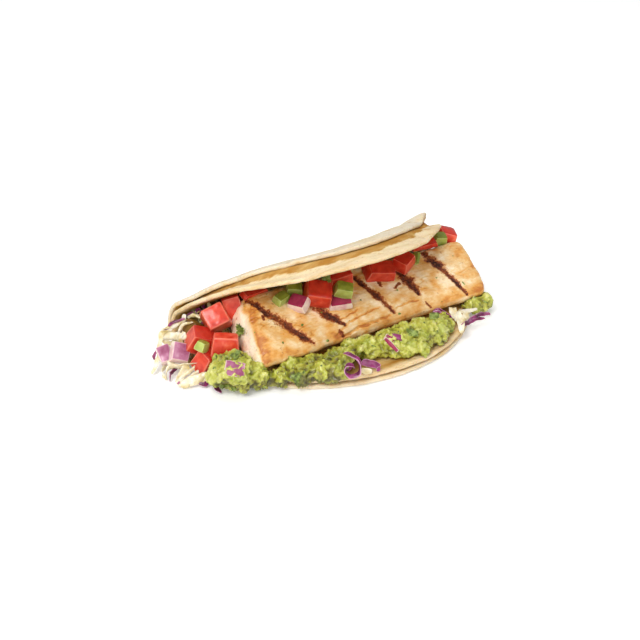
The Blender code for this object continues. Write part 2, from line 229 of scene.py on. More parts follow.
def smoothstep(low, high, value):
    share = np.clip((value - low) / (high - low), 0.0, 1.0)
    return share * share * (3.0 - 2.0 * share)


def placed(name, data):
    """A new object of the scene, at the origin."""
    obj = bpy.data.objects.new(name, data)
    bpy.context.scene.collection.objects.link(obj)
    return obj


def mesh_of(shape, name):
    """Turns a bmesh into a mesh."""
    mesh = bpy.data.meshes.new(name)
    shape.to_mesh(mesh)
    shape.free()
    return mesh


def new_object(name, verts, faces, material):
    """A smooth mesh object at the origin from points and faces."""
    mesh = bpy.data.meshes.new(name)
    mesh.from_pydata([tuple(v) for v in verts], [], faces)
    mesh.shade_smooth()
    mesh.materials.append(material)
    return placed(name, mesh)


def coordinates(mesh):
    found = np.empty(len(mesh.vertices) * 3)
    mesh.vertices.foreach_get("co", found)
    return found.reshape(-1, 3)


def normals(mesh):
    found = np.empty(len(mesh.vertices) * 3, np.float32)
    mesh.vertex_normals.foreach_get("vector", found)
    return found.reshape(-1, 3).astype(float)


def move_points(mesh, points):
    mesh.vertices.foreach_set("co", np.asarray(points, float).ravel())
    mesh.update()


def paint(mesh, name, values):
    """Stores one number for each point, which a material reads by name."""
    layer = mesh.attributes.new(name, "FLOAT", "POINT")
    layer.data.foreach_set("value", np.asarray(values, np.float32))


def baked(obj):
    """Applies an object's modifiers to a mesh of its own."""
    graph = bpy.context.evaluated_depsgraph_get()
    mesh = bpy.data.meshes.new_from_object(obj.evaluated_get(graph))
    obj.modifiers.clear()
    obj.data = mesh
    return obj


def settle(piece, slot, *nodes):
    """Puts a finished piece on the frame, on the root body, and hides the nodes it stands for; slot is not
    used.
    """
    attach(piece, "root")
    if nodes:
        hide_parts(*nodes)


# ----------------------------------------------------------------------------------- materials
def griddled_masa(name, pale, gold, toasted):
    """Maize dough pressed thin and griddled: matt, cream, with a fine pitted grain, thin scaly
    streaks, toasted spots and brown flecks, and gold where the sheets lie against each other, partly
    toasting and partly painted shade, the warm shade in the gap between them."""
    glow = (0.35, (1.0, 0.62, 0.30), 2.0 * MM)
    material, tree, shader = start_material(name, glow, Roughness=0.78, IOR=1.45, Specular_IOR_Level=0.25)
    place = object_place(tree)
    drawn_out = object_place(tree, 0.22)
    scales = noise_at(tree, drawn_out, 1.5, 5.0, Roughness=0.7)
    blotch = noise_at(tree, drawn_out, 5.0, 6.0)
    # The painted toast number holds toasting and the painted shade of the gap between the sheets.
    uneven = calc(tree, "MULTIPLY_ADD", blotch, 0.9, painted(tree, "toast"))
    dough = ramp(tree, uneven, [(0.42, pale), (0.80, gold), (1.0, toasted)])
    dry = ramp(tree, scales, [(0.38, 0.30), (0.47, 0.0), (0.60, 0.0), (0.68, 0.25)])
    scaly = blend(tree, dry, dough, "#cdb894", "MULTIPLY")
    spots = ramp(tree, noise_at(tree, place, 6.0, 4.0), [(0.0, 0.0), (0.60, 0.0), (0.72, 0.55)])
    spotted = blend(tree, spots, scaly, "#c1965a")
    flecks = ramp(tree, noise_at(tree, place, 1.1, 3.0), [(0.0, 0.0), (0.62, 0.0), (0.74, 0.6)])
    speckled = blend(tree, flecks, spotted, "#a9824f")
    relief = calc(tree, "MULTIPLY_ADD", scales, 1.4, noise_at(tree, place, 0.5, 5.0))
    finish_surface(tree, shader, speckled, relief, 0.6, 0.25)
    return material


def grilled_flesh():
    """Lean white meat seared on bars: pale cream and moist, gold where it browned, and where the
    bars burnt it an orange brown halo round dark reddish brown with black crumbs."""
    glow = (0.20, (1.0, 0.55, 0.30), 1.4 * MM)
    material, tree, shader = start_material(
        "grilled_white_meat", glow, coat=(0.35, 0.18), Roughness=0.40, IOR=1.42
    )
    place = object_place(tree)
    char = painted(tree, "char")
    blotch = noise_at(tree, place, 5.0, 6.0)
    fibre = noise_at(tree, object_place(tree, 0.30), 0.9, 5.0, Roughness=0.65)
    browning = calc(tree, "MULTIPLY_ADD", blotch, 0.9, painted(tree, "gold"))
    streaked = calc(tree, "MULTIPLY_ADD", fibre, 0.35, browning)
    stops = [(0.36, "#f8e8cc"), (0.56, "#e8cb9b"), (0.70, "#dfb272"), (0.84, "#d89a4a"), (1.0, "#b97130")]
    seared = ramp(tree, streaked, stops)
    specks = ramp(tree, noise_at(tree, place, 2.2, 2.0), [(0.0, 0.0), (0.67, 0.0), (0.74, 0.7)])
    specked = blend(tree, specks, seared, "#b0743c")
    crumb = noise_at(tree, place, 1.0, 5.0, Roughness=0.7)
    burnt = calc(tree, "MULTIPLY_ADD", crumb, 0.8, char)
    share = ramp(tree, burnt, [(0.54, 0.0), (0.72, 1.0)])
    stops = [(0.52, "#d3974f"), (0.64, "#bb7032"), (0.74, "#94481a"), (0.85, "#67290d"), (0.97, "#341106")]
    colour = blend(tree, share, specked, ramp(tree, burnt, stops))
    dullness = rescaled(tree, char, (0.2, 0.6), (0.38, 0.75))
    tree.links.new(dullness, shader.inputs["Roughness"])
    juice = rescaled(tree, char, (0.15, 0.45), (0.35, 0.03))
    tree.links.new(juice, shader.inputs["Coat Weight"])
    finish_surface(tree, shader, colour, fibre, 0.5, 0.5)
    return material


def mashed_avocado():
    """Ripe avocado crushed with a fork: fatty and glossy, greener in patches, and coloured by the
    mash's height: pale yellow green on the crests as a painted highlight, olive brown in the hollows
    and low down as painted shade."""
    glow = (0.30, (0.7, 1.0, 0.15), 1.0 * MM)
    material, tree, shader = start_material(
        "mashed_avocado", glow, coat=(0.3, 0.2), Roughness=0.36, IOR=1.46
    )
    place = object_place(tree)
    # Painted light and shade: the height sets the colour, lighter on crests and darker in hollows.
    relief_light_and_shade = calc(tree, "MULTIPLY_ADD", noise_at(tree, place, 3.0, 6.0), 0.6, painted(tree, "height"))
    stops = [(0.24, "#4c4410"), (0.40, "#736b20"), (0.54, "#9c9a34"), (0.72, "#b3b344"), (0.95, "#cfcd7a")]
    fresh = ramp(tree, noise_at(tree, place, 7.0, 3.0), [(0.50, 0.0), (0.62, 0.55)])
    tinted = blend(tree, fresh, ramp(tree, relief_light_and_shade, stops), "#b9cc74", "MULTIPLY")
    finish_surface(tree, shader, tinted, noise_at(tree, place, 0.8, 4.0), 0.45, 0.4)
    return material


def wet_flesh(name, stops, radii, depth, roughness, edge=None, grain=1.5):
    """Raw vegetable flesh cut with a knife: wet, translucent, with a faint grain and, where a
    colour is given for them, paler edges, a painted highlight for the glint of juice along the cuts;
    radii say how far each colour travels in it, as shares of depth, which like grain is in millimetres."""
    glow = (0.4, radii, depth * MM)
    material, tree, shader = start_material(name, glow, coat=(0.25, 0.16), Roughness=roughness, IOR=1.38)
    place = object_place(tree)
    colour = ramp(tree, noise_at(tree, place, 4.0, 5.0), stops)
    if edge:
        # Painted highlight: the edges take a paler colour.
        colour = blend(tree, painted(tree, "edge"), colour, edge)
    finish_surface(tree, shader, colour, noise_at(tree, place, grain, 3.0))
    return material


def cabbage_leaf(name, stops, rim_colour, rim_share):
    """Raw cabbage cut into shreds: wet, thin enough to glow, with veins, and another colour along
    its cut rims."""
    glow = (0.45, (1.0, 0.9, 0.6), 1.2 * MM)
    material, tree, shader = start_material(name, glow, coat=(0.35, 0.12), Roughness=0.3, IOR=1.4)
    place = object_place(tree)
    leaf = ramp(tree, noise_at(tree, place, 5.0, 3.0), stops)
    edge = rescaled(tree, painted(tree, "rim"), (0.40, 0.49), (0.0, rim_share))
    colour = blend(tree, edge, leaf, rim_colour)
    finish_surface(tree, shader, colour, noise_at(tree, place, 0.9, 3.0), 0.3, 0.25)
    return material


def dry_bit(name, size, detail, stops, **sockets):
    """Small matt bits of food, of several shades in patches size millimetres wide."""
    material, tree, shader = start_material(name, **sockets)
    finish_surface(tree, shader, ramp(tree, noise_at(tree, object_place(tree), size, detail), stops))
    return material


# ----------------------------------------------------------------------------------- tortillas
def lid_slope(lid, end, x):
    share = x / TORTILLA_RADIUS
    return np.radians(sum(k * share**i for i, k in enumerate(lid[end])))


def lid_start(lid, x, radius):
    return FOLD_Y - DISC_MIDDLE_Y + radius * (math.pi - lid_slope(lid, "fold", x))


def folded(x, s, half_chord, lid, radius, height):
    """Points of a folded sheet at x along the fold and s across it, on the face inside the fold."""
    near, far = lid_slope(lid, "fold", x), lid_slope(lid, "rim", x)
    fold_start, fold_end = FOLD_Y - DISC_MIDDLE_Y, lid_start(lid, x, radius)
    turn = (np.clip(s, fold_start, fold_end) - fold_start) / radius
    y = np.minimum(s, fold_start) + DISC_MIDDLE_Y + radius * np.sin(turn)
    z = height + radius * (1.0 - np.cos(turn))
    step = np.maximum(s - fold_end, 0.0) / LID_STEPS
    for i in range(LID_STEPS):
        to_rim = half_chord - (fold_end + (i + 0.5) * step)
        bend = np.maximum(0.0, 1.0 - to_rim / lid["droop"]) ** 2
        slope = near + (far - near) * bend
        y = y - np.cos(slope) * step
        z = z + np.sin(slope) * step
    for end, side in (("left", -1.0), ("right", 1.0)):
        start, rise, power = lid[end]
        past = np.maximum(0.0, side * x - start) / CURL_RUN
        z = z + rise * past**power * np.clip((s - fold_end) / CURL_SPREAD, 0.0, 1.0)
    x = np.maximum(x, SQUASH_FROM + (x - SQUASH_FROM) * SQUASH)
    return np.stack([x, y, z], axis=-1)


def half_chord_at(x):
    return np.sqrt(np.maximum(TORTILLA_RADIUS**2 - x**2, 0.0))


def inner_face(x, s):
    height = 2.0 * TORTILLA_THICKNESS + SHEET_GAP
    return folded(x + INNER_SHIFT, s, half_chord_at(x), INNER_LID, FOLD_RADIUS, height)


def outer_face(x, s):
    height = TORTILLA_THICKNESS
    return folded(x + OUTER_SHIFT, s, half_chord_at(x), OUTER_LID, OUTER_FOLD_RADIUS, height)


RINGS = 84
SECTORS = 480
RINGS_TO_RIM = 1.4  # how much closer the rings lie at the rim
RIM_ROUNDING = 0.9 * MM
RIM_STEPS = 6
RIM_THINNING = 0.16
CEILING_XS = np.linspace(-0.97, 0.97, 110) * TORTILLA_RADIUS
CEILING_YS = np.linspace(-42.0, 52.0, 190) * MM
CEILING_GAP = 0.15 * MM  # between the puffed sheet and the one over it
LOWEST = 0.02 * MM  # nothing goes below, so that the taco rests on the floor
PUFFED_FROM = 10.0 * MM  # from the inner rim, where the outer sheet's rim lies on it


def disc_section():
    """The disc's section from its middle round the rim and back: radii and depths in the wall."""
    shares = 1.0 - (1.0 - np.linspace(0.0, 1.0, RINGS)[1:]) ** RINGS_TO_RIM
    radii = (TORTILLA_RADIUS - RIM_ROUNDING) * shares
    turns = np.linspace(0.0, math.pi, RIM_STEPS + 2)[1:-1]
    rim_radii = TORTILLA_RADIUS - RIM_ROUNDING * (1.0 - np.sin(turns))
    rim_depths = (1.0 - np.cos(turns)) / 2.0
    depths = np.concatenate([np.zeros_like(radii), rim_depths, np.ones_like(radii)])
    return np.concatenate([radii, rim_radii, radii[::-1]]), depths


def ceiling_table():
    """Heights of the outer sheet's folded half above a plan grid, for the sheet puffed below it."""
    heights = []
    for x in CEILING_XS:
        start = lid_start(OUTER_LID, x + OUTER_SHIFT, OUTER_FOLD_RADIUS)
        s = np.linspace(start, math.sqrt(TORTILLA_RADIUS**2 - x**2), 100)
        column = outer_face(np.full_like(s, x), s)[::-1]
        heights.append(np.interp(CEILING_YS, column[:, 1], column[:, 2]))
    return np.array(heights)


def ceiling_over(x, y):
    """Height of the outer sheet's inside face over each plan place."""
    xs, ys, heights = CEILING_XS + OUTER_SHIFT, CEILING_YS, ceiling_table()
    u = np.clip((x - xs[0]) / (xs[1] - xs[0]), 0.0, len(xs) - 1.001)
    v = np.clip((y - ys[0]) / (ys[1] - ys[0]), 0.0, len(ys) - 1.001)
    i, j = u.astype(int), v.astype(int)
    u, v = u - i, v - j
    low = heights[i, j] * (1.0 - v) + heights[i, j + 1] * v
    high = heights[i + 1, j] * (1.0 - v) + heights[i + 1, j + 1] * v
    return low * (1.0 - u) + high * u


def disc_faces(rings):
    """Faces between the rings of points, and to the two poles that come after them."""
    inside_pole, outside_pole = rings * SECTORS, rings * SECTORS + 1
    last = (rings - 1) * SECTORS
    faces = []
    for j in range(SECTORS):
        k = (j + 1) % SECTORS
        faces.append((inside_pole, k, j))
        faces.append((outside_pole, last + j, last + k))
        for i in range(0, last, SECTORS):
            faces.append((i + j, i + k, i + SECTORS + k, i + SECTORS + j))
    return faces


def make_tortilla(name, face, seed, puffed, toast_and_gap_shade_of, material):
    """A disc of dough bent by a point function: uneven, with a rounded and slightly torn rim.
    The toast function it is given returns the toasting, with painted shade in the gap between the
    sheets, from place, side of the wall and distance to the rim."""
    radii, depths = disc_section()
    angles = np.linspace(0.0, 2.0 * math.pi, SECTORS, endpoint=False)
    round_rim = [(math.cos(a) * 3.0, math.sin(a) * 3.0, 0.0) for a in angles]
    ragged = 0.006 * wobble(round_rim, 1.0, seed) + 0.004 * wobble(round_rim, 0.16, seed, 2)
    reach = radii[:, None] * (1.0 + ragged * (radii / TORTILLA_RADIUS)[:, None] ** 6)
    x, s = reach * np.sin(angles), reach * np.cos(angles)
    depth = np.broadcast_to(depths[:, None], x.shape)
    to_rim = np.broadcast_to((TORTILLA_RADIUS - radii)[:, None], x.shape)
    small = 0.05 * MM  # step for the directions along the sheet
    across = face(x, s + small) - face(x, s - small)
    along = face(x + small, s) - face(x - small, s)
    upright = np.cross(along, across)
    upright /= np.linalg.norm(upright, axis=-1, keepdims=True)
    flat = np.stack([x, s, np.zeros_like(x)], axis=-1).reshape(-1, 3)
    swell = 0.35 * wobble(flat, 14 * MM, seed, 2) + 0.12 * wobble(flat, 3.5 * MM, seed + 1, 2)
    swell = swell.reshape(x.shape) * MM
    pores = (0.07 * MM * wobble(flat, 1.3 * MM, seed + 2, 2)).reshape(x.shape)
    on_lid = smoothstep(0.0, 26 * MM, s)
    torn = 1.3 * wobble(flat * np.array([0.5, 1.0, 1.0]), 3.5 * MM, seed + 3, 4) * MM
    # Toasting, with painted shade in the gap between the sheets.
    toast = toast_and_gap_shade_of(x, depth, on_lid, to_rim + torn.reshape(x.shape))
    wall = TORTILLA_THICKNESS * (1.0 - RIM_THINNING * smoothstep(8 * MM, 0.0, to_rim))
    lift = swell * (on_lid * 0.9 + 0.1) - depth * wall + (1.0 - 2.0 * depth) * pores
    lift += 0.35 * MM * depth * smoothstep(0.2, 0.6, toast)
    points = face(x, s) + upright * lift[..., None]
    if puffed:
        room = ceiling_over(points[..., 0], points[..., 1]) - points[..., 2] - CEILING_GAP
        rise = np.maximum(room, 0.0) * depth * on_lid * smoothstep(4 * MM, PUFFED_FROM, to_rim)
        points[..., 2] += rise
    points[..., 2] = np.maximum(points[..., 2], LOWEST)
    middle = face(np.zeros(1), np.zeros(1))[0]
    poles = [middle, middle - upright[0].mean(axis=0) * TORTILLA_THICKNESS]
    verts = np.concatenate([points.reshape(-1, 3), poles])
    obj = new_object(name, verts, disc_faces(len(radii)), material)
    paint(obj.data, "toast", np.append(toast.ravel(), [toast[0, 0], toast[-1, 0]]))
    return obj


def outer_toast_and_gap_shade(x, depth, on_lid, to_rim):
    """Golden on the inside face, from closer to the rim on the left than on the right: toasting, and
    painted shade where this face roofs the warm gap between the sheets.
    """
    band = (1.2 + 3.5 * smoothstep(-20 * MM, 30 * MM, x)) * MM
    inside = 0.5 * smoothstep(band - 1 * MM, band + 1.5 * MM, to_rim) * on_lid
    return (1.0 - depth) * (0.20 + inside)


def inner_toast_and_gap_shade(x, depth, on_lid, to_rim):
    """Golden on the outside of the folded half behind a pale band along the rim: toasting, and
    painted shade where it lies in the warm gap under the outer sheet.
    """
    narrower = 1.2 * smoothstep(-40 * MM, -62 * MM, x) + 3.4 * smoothstep(44 * MM, 60 * MM, x)
    band = (6.6 - narrower) * MM
    outside = 0.50 * smoothstep(band - 0.3 * MM, band + 0.6 * MM, to_rim) * on_lid
    inside = 0.32 * smoothstep(0.8 * MM, 5 * MM, to_rim)
    return (1.0 - depth) * (0.12 + inside) + depth * outside


# -------------------------------------------------------------------------------------- fillet
FILLET_STATIONS = 8
FILLET_LEVELS = 5
STROKE_WIDENING = 1.6
SIDEWAYS_BEND = 0.8 * MM
MARK_DEPTH, CRACK_DEPTH, SEAM_DEPTH = 0.50, 0.55, 0.28  # millimetres
SEAM_WIDTH = 0.10  # of the noise whose zero lines are the seams between fibres
MARK_CHAR, SPOT_CHAR, CRACK_CHAR = 0.52, 0.42, 0.13

# Marks of the grill's bars in millimetres, seen from above: x, y and half width along each.
GRILL_MARKS = [
    [(-50.0, 18.9, 1.0), (-47.8, 15.3, 1.3), (-46.5, 10.2, 1.2), (-44.3, 6.6, 1.7),
     (-42.1, 3.0, 2.0), (-39.7, -1.8, 1.4), (-37.0, -6.2, 1.4), (-33.6, -9.7, 0.6)],
    [(-25.3, 11.9, 1.6), (-23.3, 7.1, 1.8), (-21.9, 3.1, 1.8), (-20.0, -1.1, 1.7),
     (-17.4, -4.3, 1.5), (-14.9, -7.5, 0.7)],
    [(5.1, 12.4, 1.0), (6.1, 8.5, 1.2), (7.5, 4.4, 1.3), (9.0, -0.3, 1.3), (10.5, -5.0, 1.1),
     (11.5, -8.9, 0.7)],
    [(27.0, 9.6, 1.3), (28.0, 5.6, 1.8), (28.9, 1.6, 2.1), (29.4, -2.2, 1.7), (29.3, -5.2, 0.8)],
    [(47.4, 14.4, 1.4), (47.5, 9.4, 1.9), (48.5, 4.7, 2.0), (49.8, 1.7, 1.7), (50.2, -2.1, 1.0),
     (51.2, -6.8, 0.9), (52.1, -10.8, 0.9), (53.8, -13.8, 0.6)],
]
# Smaller burnt spots, the same way.
BURNT_SPOTS = [
    [(15.0, 6.5, 0.9), (14.1, 3.8, 0.6)],
    [(19.8, 0.6, 0.5), (24.0, 2.2, 0.6)],
    [(-18.7, -9.5, 0.7), (-17.9, -12.1, 0.9), (-17.2, -14.1, 0.8)],
    [(30.0, -10.2, 0.5), (31.6, -12.6, 0.6)],
    [(-48.4, 8.4, 0.5), (-48.9, 6.9, 0.6)],
]
# Cracks where the fibres have parted and browned.
CRACKS = [
    [(-26.8, -12.2, 0.3), (-18.0, -11.5, 0.35), (-8.6, -10.3, 0.35), (0.1, -10.1, 0.3),
     (9.5, -9.9, 0.25)],
    [(-21.3, -10.8, 0.25), (-16.3, -8.7, 0.35), (-12.0, -7.4, 0.35), (-5.5, -6.3, 0.3),
     (0.8, -5.6, 0.3), (6.7, -5.4, 0.2)],
    [(-14.0, -4.9, 0.2), (-9.5, -4.2, 0.25), (-4.2, -3.3, 0.2)],
    [(13.9, -8.0, 0.2), (19.1, -7.5, 0.3), (23.5, -7.9, 0.25), (27.0, -7.9, 0.2)],
]


def fillet_section(share):
    """Cage points round the fillet at a share of its length, from the top's back corner."""
    corner = {name: Vector(place) * MM for name, place in FILLET_TOP.items()}
    back = corner["back_left"].lerp(corner["back_right"], share)
    front = corner["front_left"].lerp(corner["front_right"], share)
    up = Vector((0.0, -math.sin(FILLET_TILT), math.cos(FILLET_TILT)))
    run_out = FILLET_END_SLOPE["left"] * max(0.0, 1.0 - 6.0 * share)
    run_out += FILLET_END_SLOPE["right"] * max(0.0, 6.0 * share - 5.0)
    slope = Vector((run_out, 0.0, 0.0))
    crease = back.lerp(front, CREASE_AT)
    low_back = back - up * FILLET_BACK_THICKNESS + slope
    low_front = front - up * FILLET_FRONT_THICKNESS + slope * 0.5
    return [
        back,
        back.lerp(front, 0.3) + up * 0.6 * MM,
        back.lerp(front, 0.6) + up * 0.4 * MM,
        crease,
        front - up * CREASE_DROP,
        low_front,
        low_back.lerp(low_front, 0.6),
        low_back.lerp(low_front, 0.2),
        low_back.lerp(back, 0.12),
        low_back.lerp(back, 0.75) + slope * FILLET_END_BULGE,
    ]


def stroke_depth(places, strokes, ragged=0.0):
    """How far inside the nearest stroke each plan place is: 1 on its middle line, 0 at its edge
    and below 0 outside. ragged widens and narrows the strokes by a share, place by place."""
    best = np.full(len(places), -9.0)
    for stroke in strokes:
        for (x0, y0, w0), (x1, y1, w1) in zip(stroke, stroke[1:]):
            start, run = np.array([x0, y0]) * MM, np.array([x1 - x0, y1 - y0]) * MM
            share = np.clip((places - start) @ run / (run @ run), 0.0, 1.0)
            away = np.linalg.norm(places - start - share[:, None] * run, axis=1)
            width = (w0 + (w1 - w0) * share) * MM * STROKE_WIDENING * (1.0 + ragged)
            best = np.maximum(best, 1.0 - away / width)
    return best


def plain_fillet():
    """The slab with a smooth skin, from a cage of its sections."""
    shape = bmesh.new()
    rings = []
    for i in range(FILLET_STATIONS + 1):
        share = 0.5 - 0.5 * math.cos(math.pi * i / FILLET_STATIONS)
        rings.append([shape.verts.new(point) for point in fillet_section(share)])
    for ring, following in zip(rings, rings[1:]):
        for i in range(len(ring)):
            j = (i + 1) % len(ring)
            shape.faces.new((ring[i], ring[j], following[j], following[i]))
    shape.faces.new(reversed(rings[0]))
    shape.faces.new(rings[-1])
    bmesh.ops.recalc_face_normals(shape, faces=shape.faces)
    obj = placed("fillet", mesh_of(shape, "fillet"))
    smooth = obj.modifiers.new("smooth", "SUBSURF")
    smooth.levels = smooth.render_levels = FILLET_LEVELS
    baked(obj)
    obj.data.shade_smooth()
    return obj


def make_fillet(material):
    """The slab of meat: uneven flesh, marks pressed in by the grill, cracks, and its browning."""
    obj = plain_fillet()
    mesh = obj.data
    points, outward = coordinates(mesh), normals(mesh)
    up = np.array([0.0, -math.sin(FILLET_TILT), math.cos(FILLET_TILT)])
    topside = smoothstep(0.55, 0.85, outward @ up)
    rough = 0.5 * wobble(points, 2.2 * MM, 21, 2)
    marks = stroke_depth(points[:, :2], GRILL_MARKS, rough)
    spots = stroke_depth(points[:, :2], BURNT_SPOTS, rough) * topside
    wander = wobbles(points, 3.0 * MM, (27, 28), 3)
    cracks = stroke_depth(points[:, :2] + 0.5 * MM * wander, CRACKS, 0.3 + 0.8 * rough)
    cracks = smoothstep(0.0, 0.6, cracks) * topside
    stretched = points * np.array([0.35, 1.0, 1.0])
    seam = 1.0 - np.abs(wobble(stretched, 4.2 * MM, 29, 2)) / SEAM_WIDTH
    some = smoothstep(-0.1, 0.35, wobble(points, 12 * MM, 30))
    parted = smoothstep(0.0, 1.0, seam) * some * topside
    swell = 0.50 * wobble(points, 11 * MM, 22, 2) + 0.22 * wobble(stretched, 2.4 * MM, 23, 2)
    swell += 0.07 * wobble(points, 0.9 * MM, 24, 2)
    swell -= MARK_DEPTH * smoothstep(0.0, 0.5, marks) * topside
    swell -= CRACK_DEPTH * cracks + SEAM_DEPTH * parted
    swell += 0.14 * smoothstep(0.0, 0.5, marks) * wobble(points, 0.8 * MM, 25, 2)
    bend = SIDEWAYS_BEND * wobble(points * np.array([1.0, 0.2, 0.2]), 14 * MM, 31)
    moved = points + outward * swell[:, None] * MM
    moved[:, 1] += bend
    move_points(mesh, moved)
    along = 0.92 + 0.38 * wobble(points, 6 * MM, 28, 2)
    char = MARK_CHAR * np.clip((marks + 0.55) / 1.25, 0.0, 1.0) * along * topside
    char = np.maximum(char, SPOT_CHAR * smoothstep(-0.3, 0.6, spots))
    char = np.maximum(char, CRACK_CHAR * cracks)
    left = 1.0 - smoothstep(1.0, 13.0, (points[:, 0] - left_edge(points)) / MM)
    front = smoothstep(-7.0, -15.0, points[:, 1] / MM)
    gold = 0.24 * left + 0.27 * front + 0.25 * cracks + 0.16 * parted
    gold += 0.16 * smoothstep(56.0, 67.0, points[:, 0] / MM) + 0.16 * wobble(points, 9 * MM, 26, 2)
    facing_front = smoothstep(0.2, 0.6, -outward[:, 1])
    gold = gold * topside + (0.36 * facing_front - 0.26) * (1.0 - topside)
    paint(mesh, "open", topside)
    paint(mesh, "gold", gold)
    paint(mesh, "char", char)
    mesh.materials.append(material)
    return obj


def left_edge(points):
    """X of the fillet's left top edge beside each point."""
    back, front = np.array(FILLET_TOP["back_left"]) * MM, np.array(FILLET_TOP["front_left"]) * MM
    share = (points[:, 1] - back[1]) / (front[1] - back[1])
    return back[0] + share * (front[0] - back[0])


# ----------------------------------------------------------------------------------- guacamole
def copy_of(node):
    """A merged copy of a solid's mesh, as a new object."""
    shape = bmesh.new()
    shape.from_mesh(frame["nodes"][node].data)
    bmesh.ops.remove_doubles(shape, verts=shape.verts, dist=0.001 * MM)
    return placed(node + "_copy", mesh_of(shape, node))


def remesh(obj, voxel, smoothing):
    """Gives an object an even skin, smoothed a number of times."""
    skin = obj.modifiers.new("skin", "REMESH")
    skin.mode = "VOXEL"
    skin.voxel_size = voxel
    obj.modifiers.new("soften", "SMOOTH").iterations = smoothing
    baked(obj)
    obj.data.shade_smooth()


def chunks(points, size, seed):
    """Rounded lumps of a size: how far each point is inside its lump, from 0 in a seam to 1."""
    shift = Vector((3.1, 7.7, 1.3)) * seed
    inside = []
    for p in points:
        away, _ = noise.voronoi(Vector(p) / size + shift)
        inside.append(away[1] - away[0])
    return np.clip(np.array(inside) / 0.55, 0.0, 1.0) ** 0.6


# Mash fills the hole that the onion dice leaves in its solid, to just below the dice's top.
PLUG_SWELLING = 1.3
PLUG_SINKING = np.array([0.0, 0.0, 0.9 * MM])
MASH_VOXEL = 0.55 * MM
MASH_RELIEF = 3.1  # millimetres for a height of 1
MASH_LEVEL = 0.52  # height that stays on the solid's skin


def make_guacamole(material):
    """The mash: chunks of several sizes in a paste creased and torn by the fork."""
    obj, plug, dollop = copy_of("guacamole"), copy_of("onion_05"), copy_of("guacamole_right")
    corners = coordinates(plug.data)
    middle = corners.mean(axis=0)
    move_points(plug.data, middle + (corners - middle) * PLUG_SWELLING - PLUG_SINKING)
    shape = bmesh.new()
    for joined in (obj, plug, dollop):
        shape.from_mesh(joined.data)
    shape.to_mesh(obj.data)
    shape.free()
    bpy.data.objects.remove(plug)
    bpy.data.objects.remove(dollop)
    remesh(obj, MASH_VOXEL, 3)
    mesh = obj.data
    points, outward = coordinates(mesh), normals(mesh)
    drift = wobbles(points, 4 * MM, (31, 32, 33), 3)
    big = chunks(points + 2.4 * MM * drift, 8.0 * MM, 1)
    small = chunks(points + 1.2 * MM * drift, 3.2 * MM, 2)
    folds = np.minimum(1.0, 1.8 * np.abs(wobble(points + 2.4 * MM * drift, 6.5 * MM, 37, 3)))
    crests = np.abs(wobble(points + 2.0 * MM * drift, 5.0 * MM, 38, 3))
    crests = 1.0 - np.minimum(1.0, 2.0 * crests)
    chunky = smoothstep(-0.1, 0.4, wobble(points, 8 * MM, 36))
    height = 0.24 * big + 0.34 * folds + 0.40 * crests**1.4 + 0.16 * chunky * small
    height += 0.09 * wobble(points, 1.2 * MM, 34, 2) + 0.20 * wobble(points, 7 * MM, 35)
    lift = MASH_RELIEF * (height - MASH_LEVEL) * MM
    moved = points + outward * lift[:, None]
    moved[:, 2] = np.maximum(moved[:, 2], 0.15 * MM)
    move_points(mesh, moved)
    x = points[:, 0] / MM
    # Painted shade: darker low down, and darker along the middle stretch that lies in the fillet's shadow.
    painted_shade = 0.20 * smoothstep(3.0, 12.0, points[:, 2] / MM)
    painted_shade -= 0.12 * (smoothstep(-62.0, -54.0, x) * smoothstep(-20.0, -32.0, x))
    paint(mesh, "open", smoothstep(-0.2, 0.3, outward[:, 2] - outward[:, 1]))
    paint(mesh, "height", 0.72 * np.clip(height, 0.0, 1.0) - 0.17 + painted_shade)
    mesh.materials.clear()
    mesh.materials.append(material)
    obj.name = "guacamole_mash"
    return obj


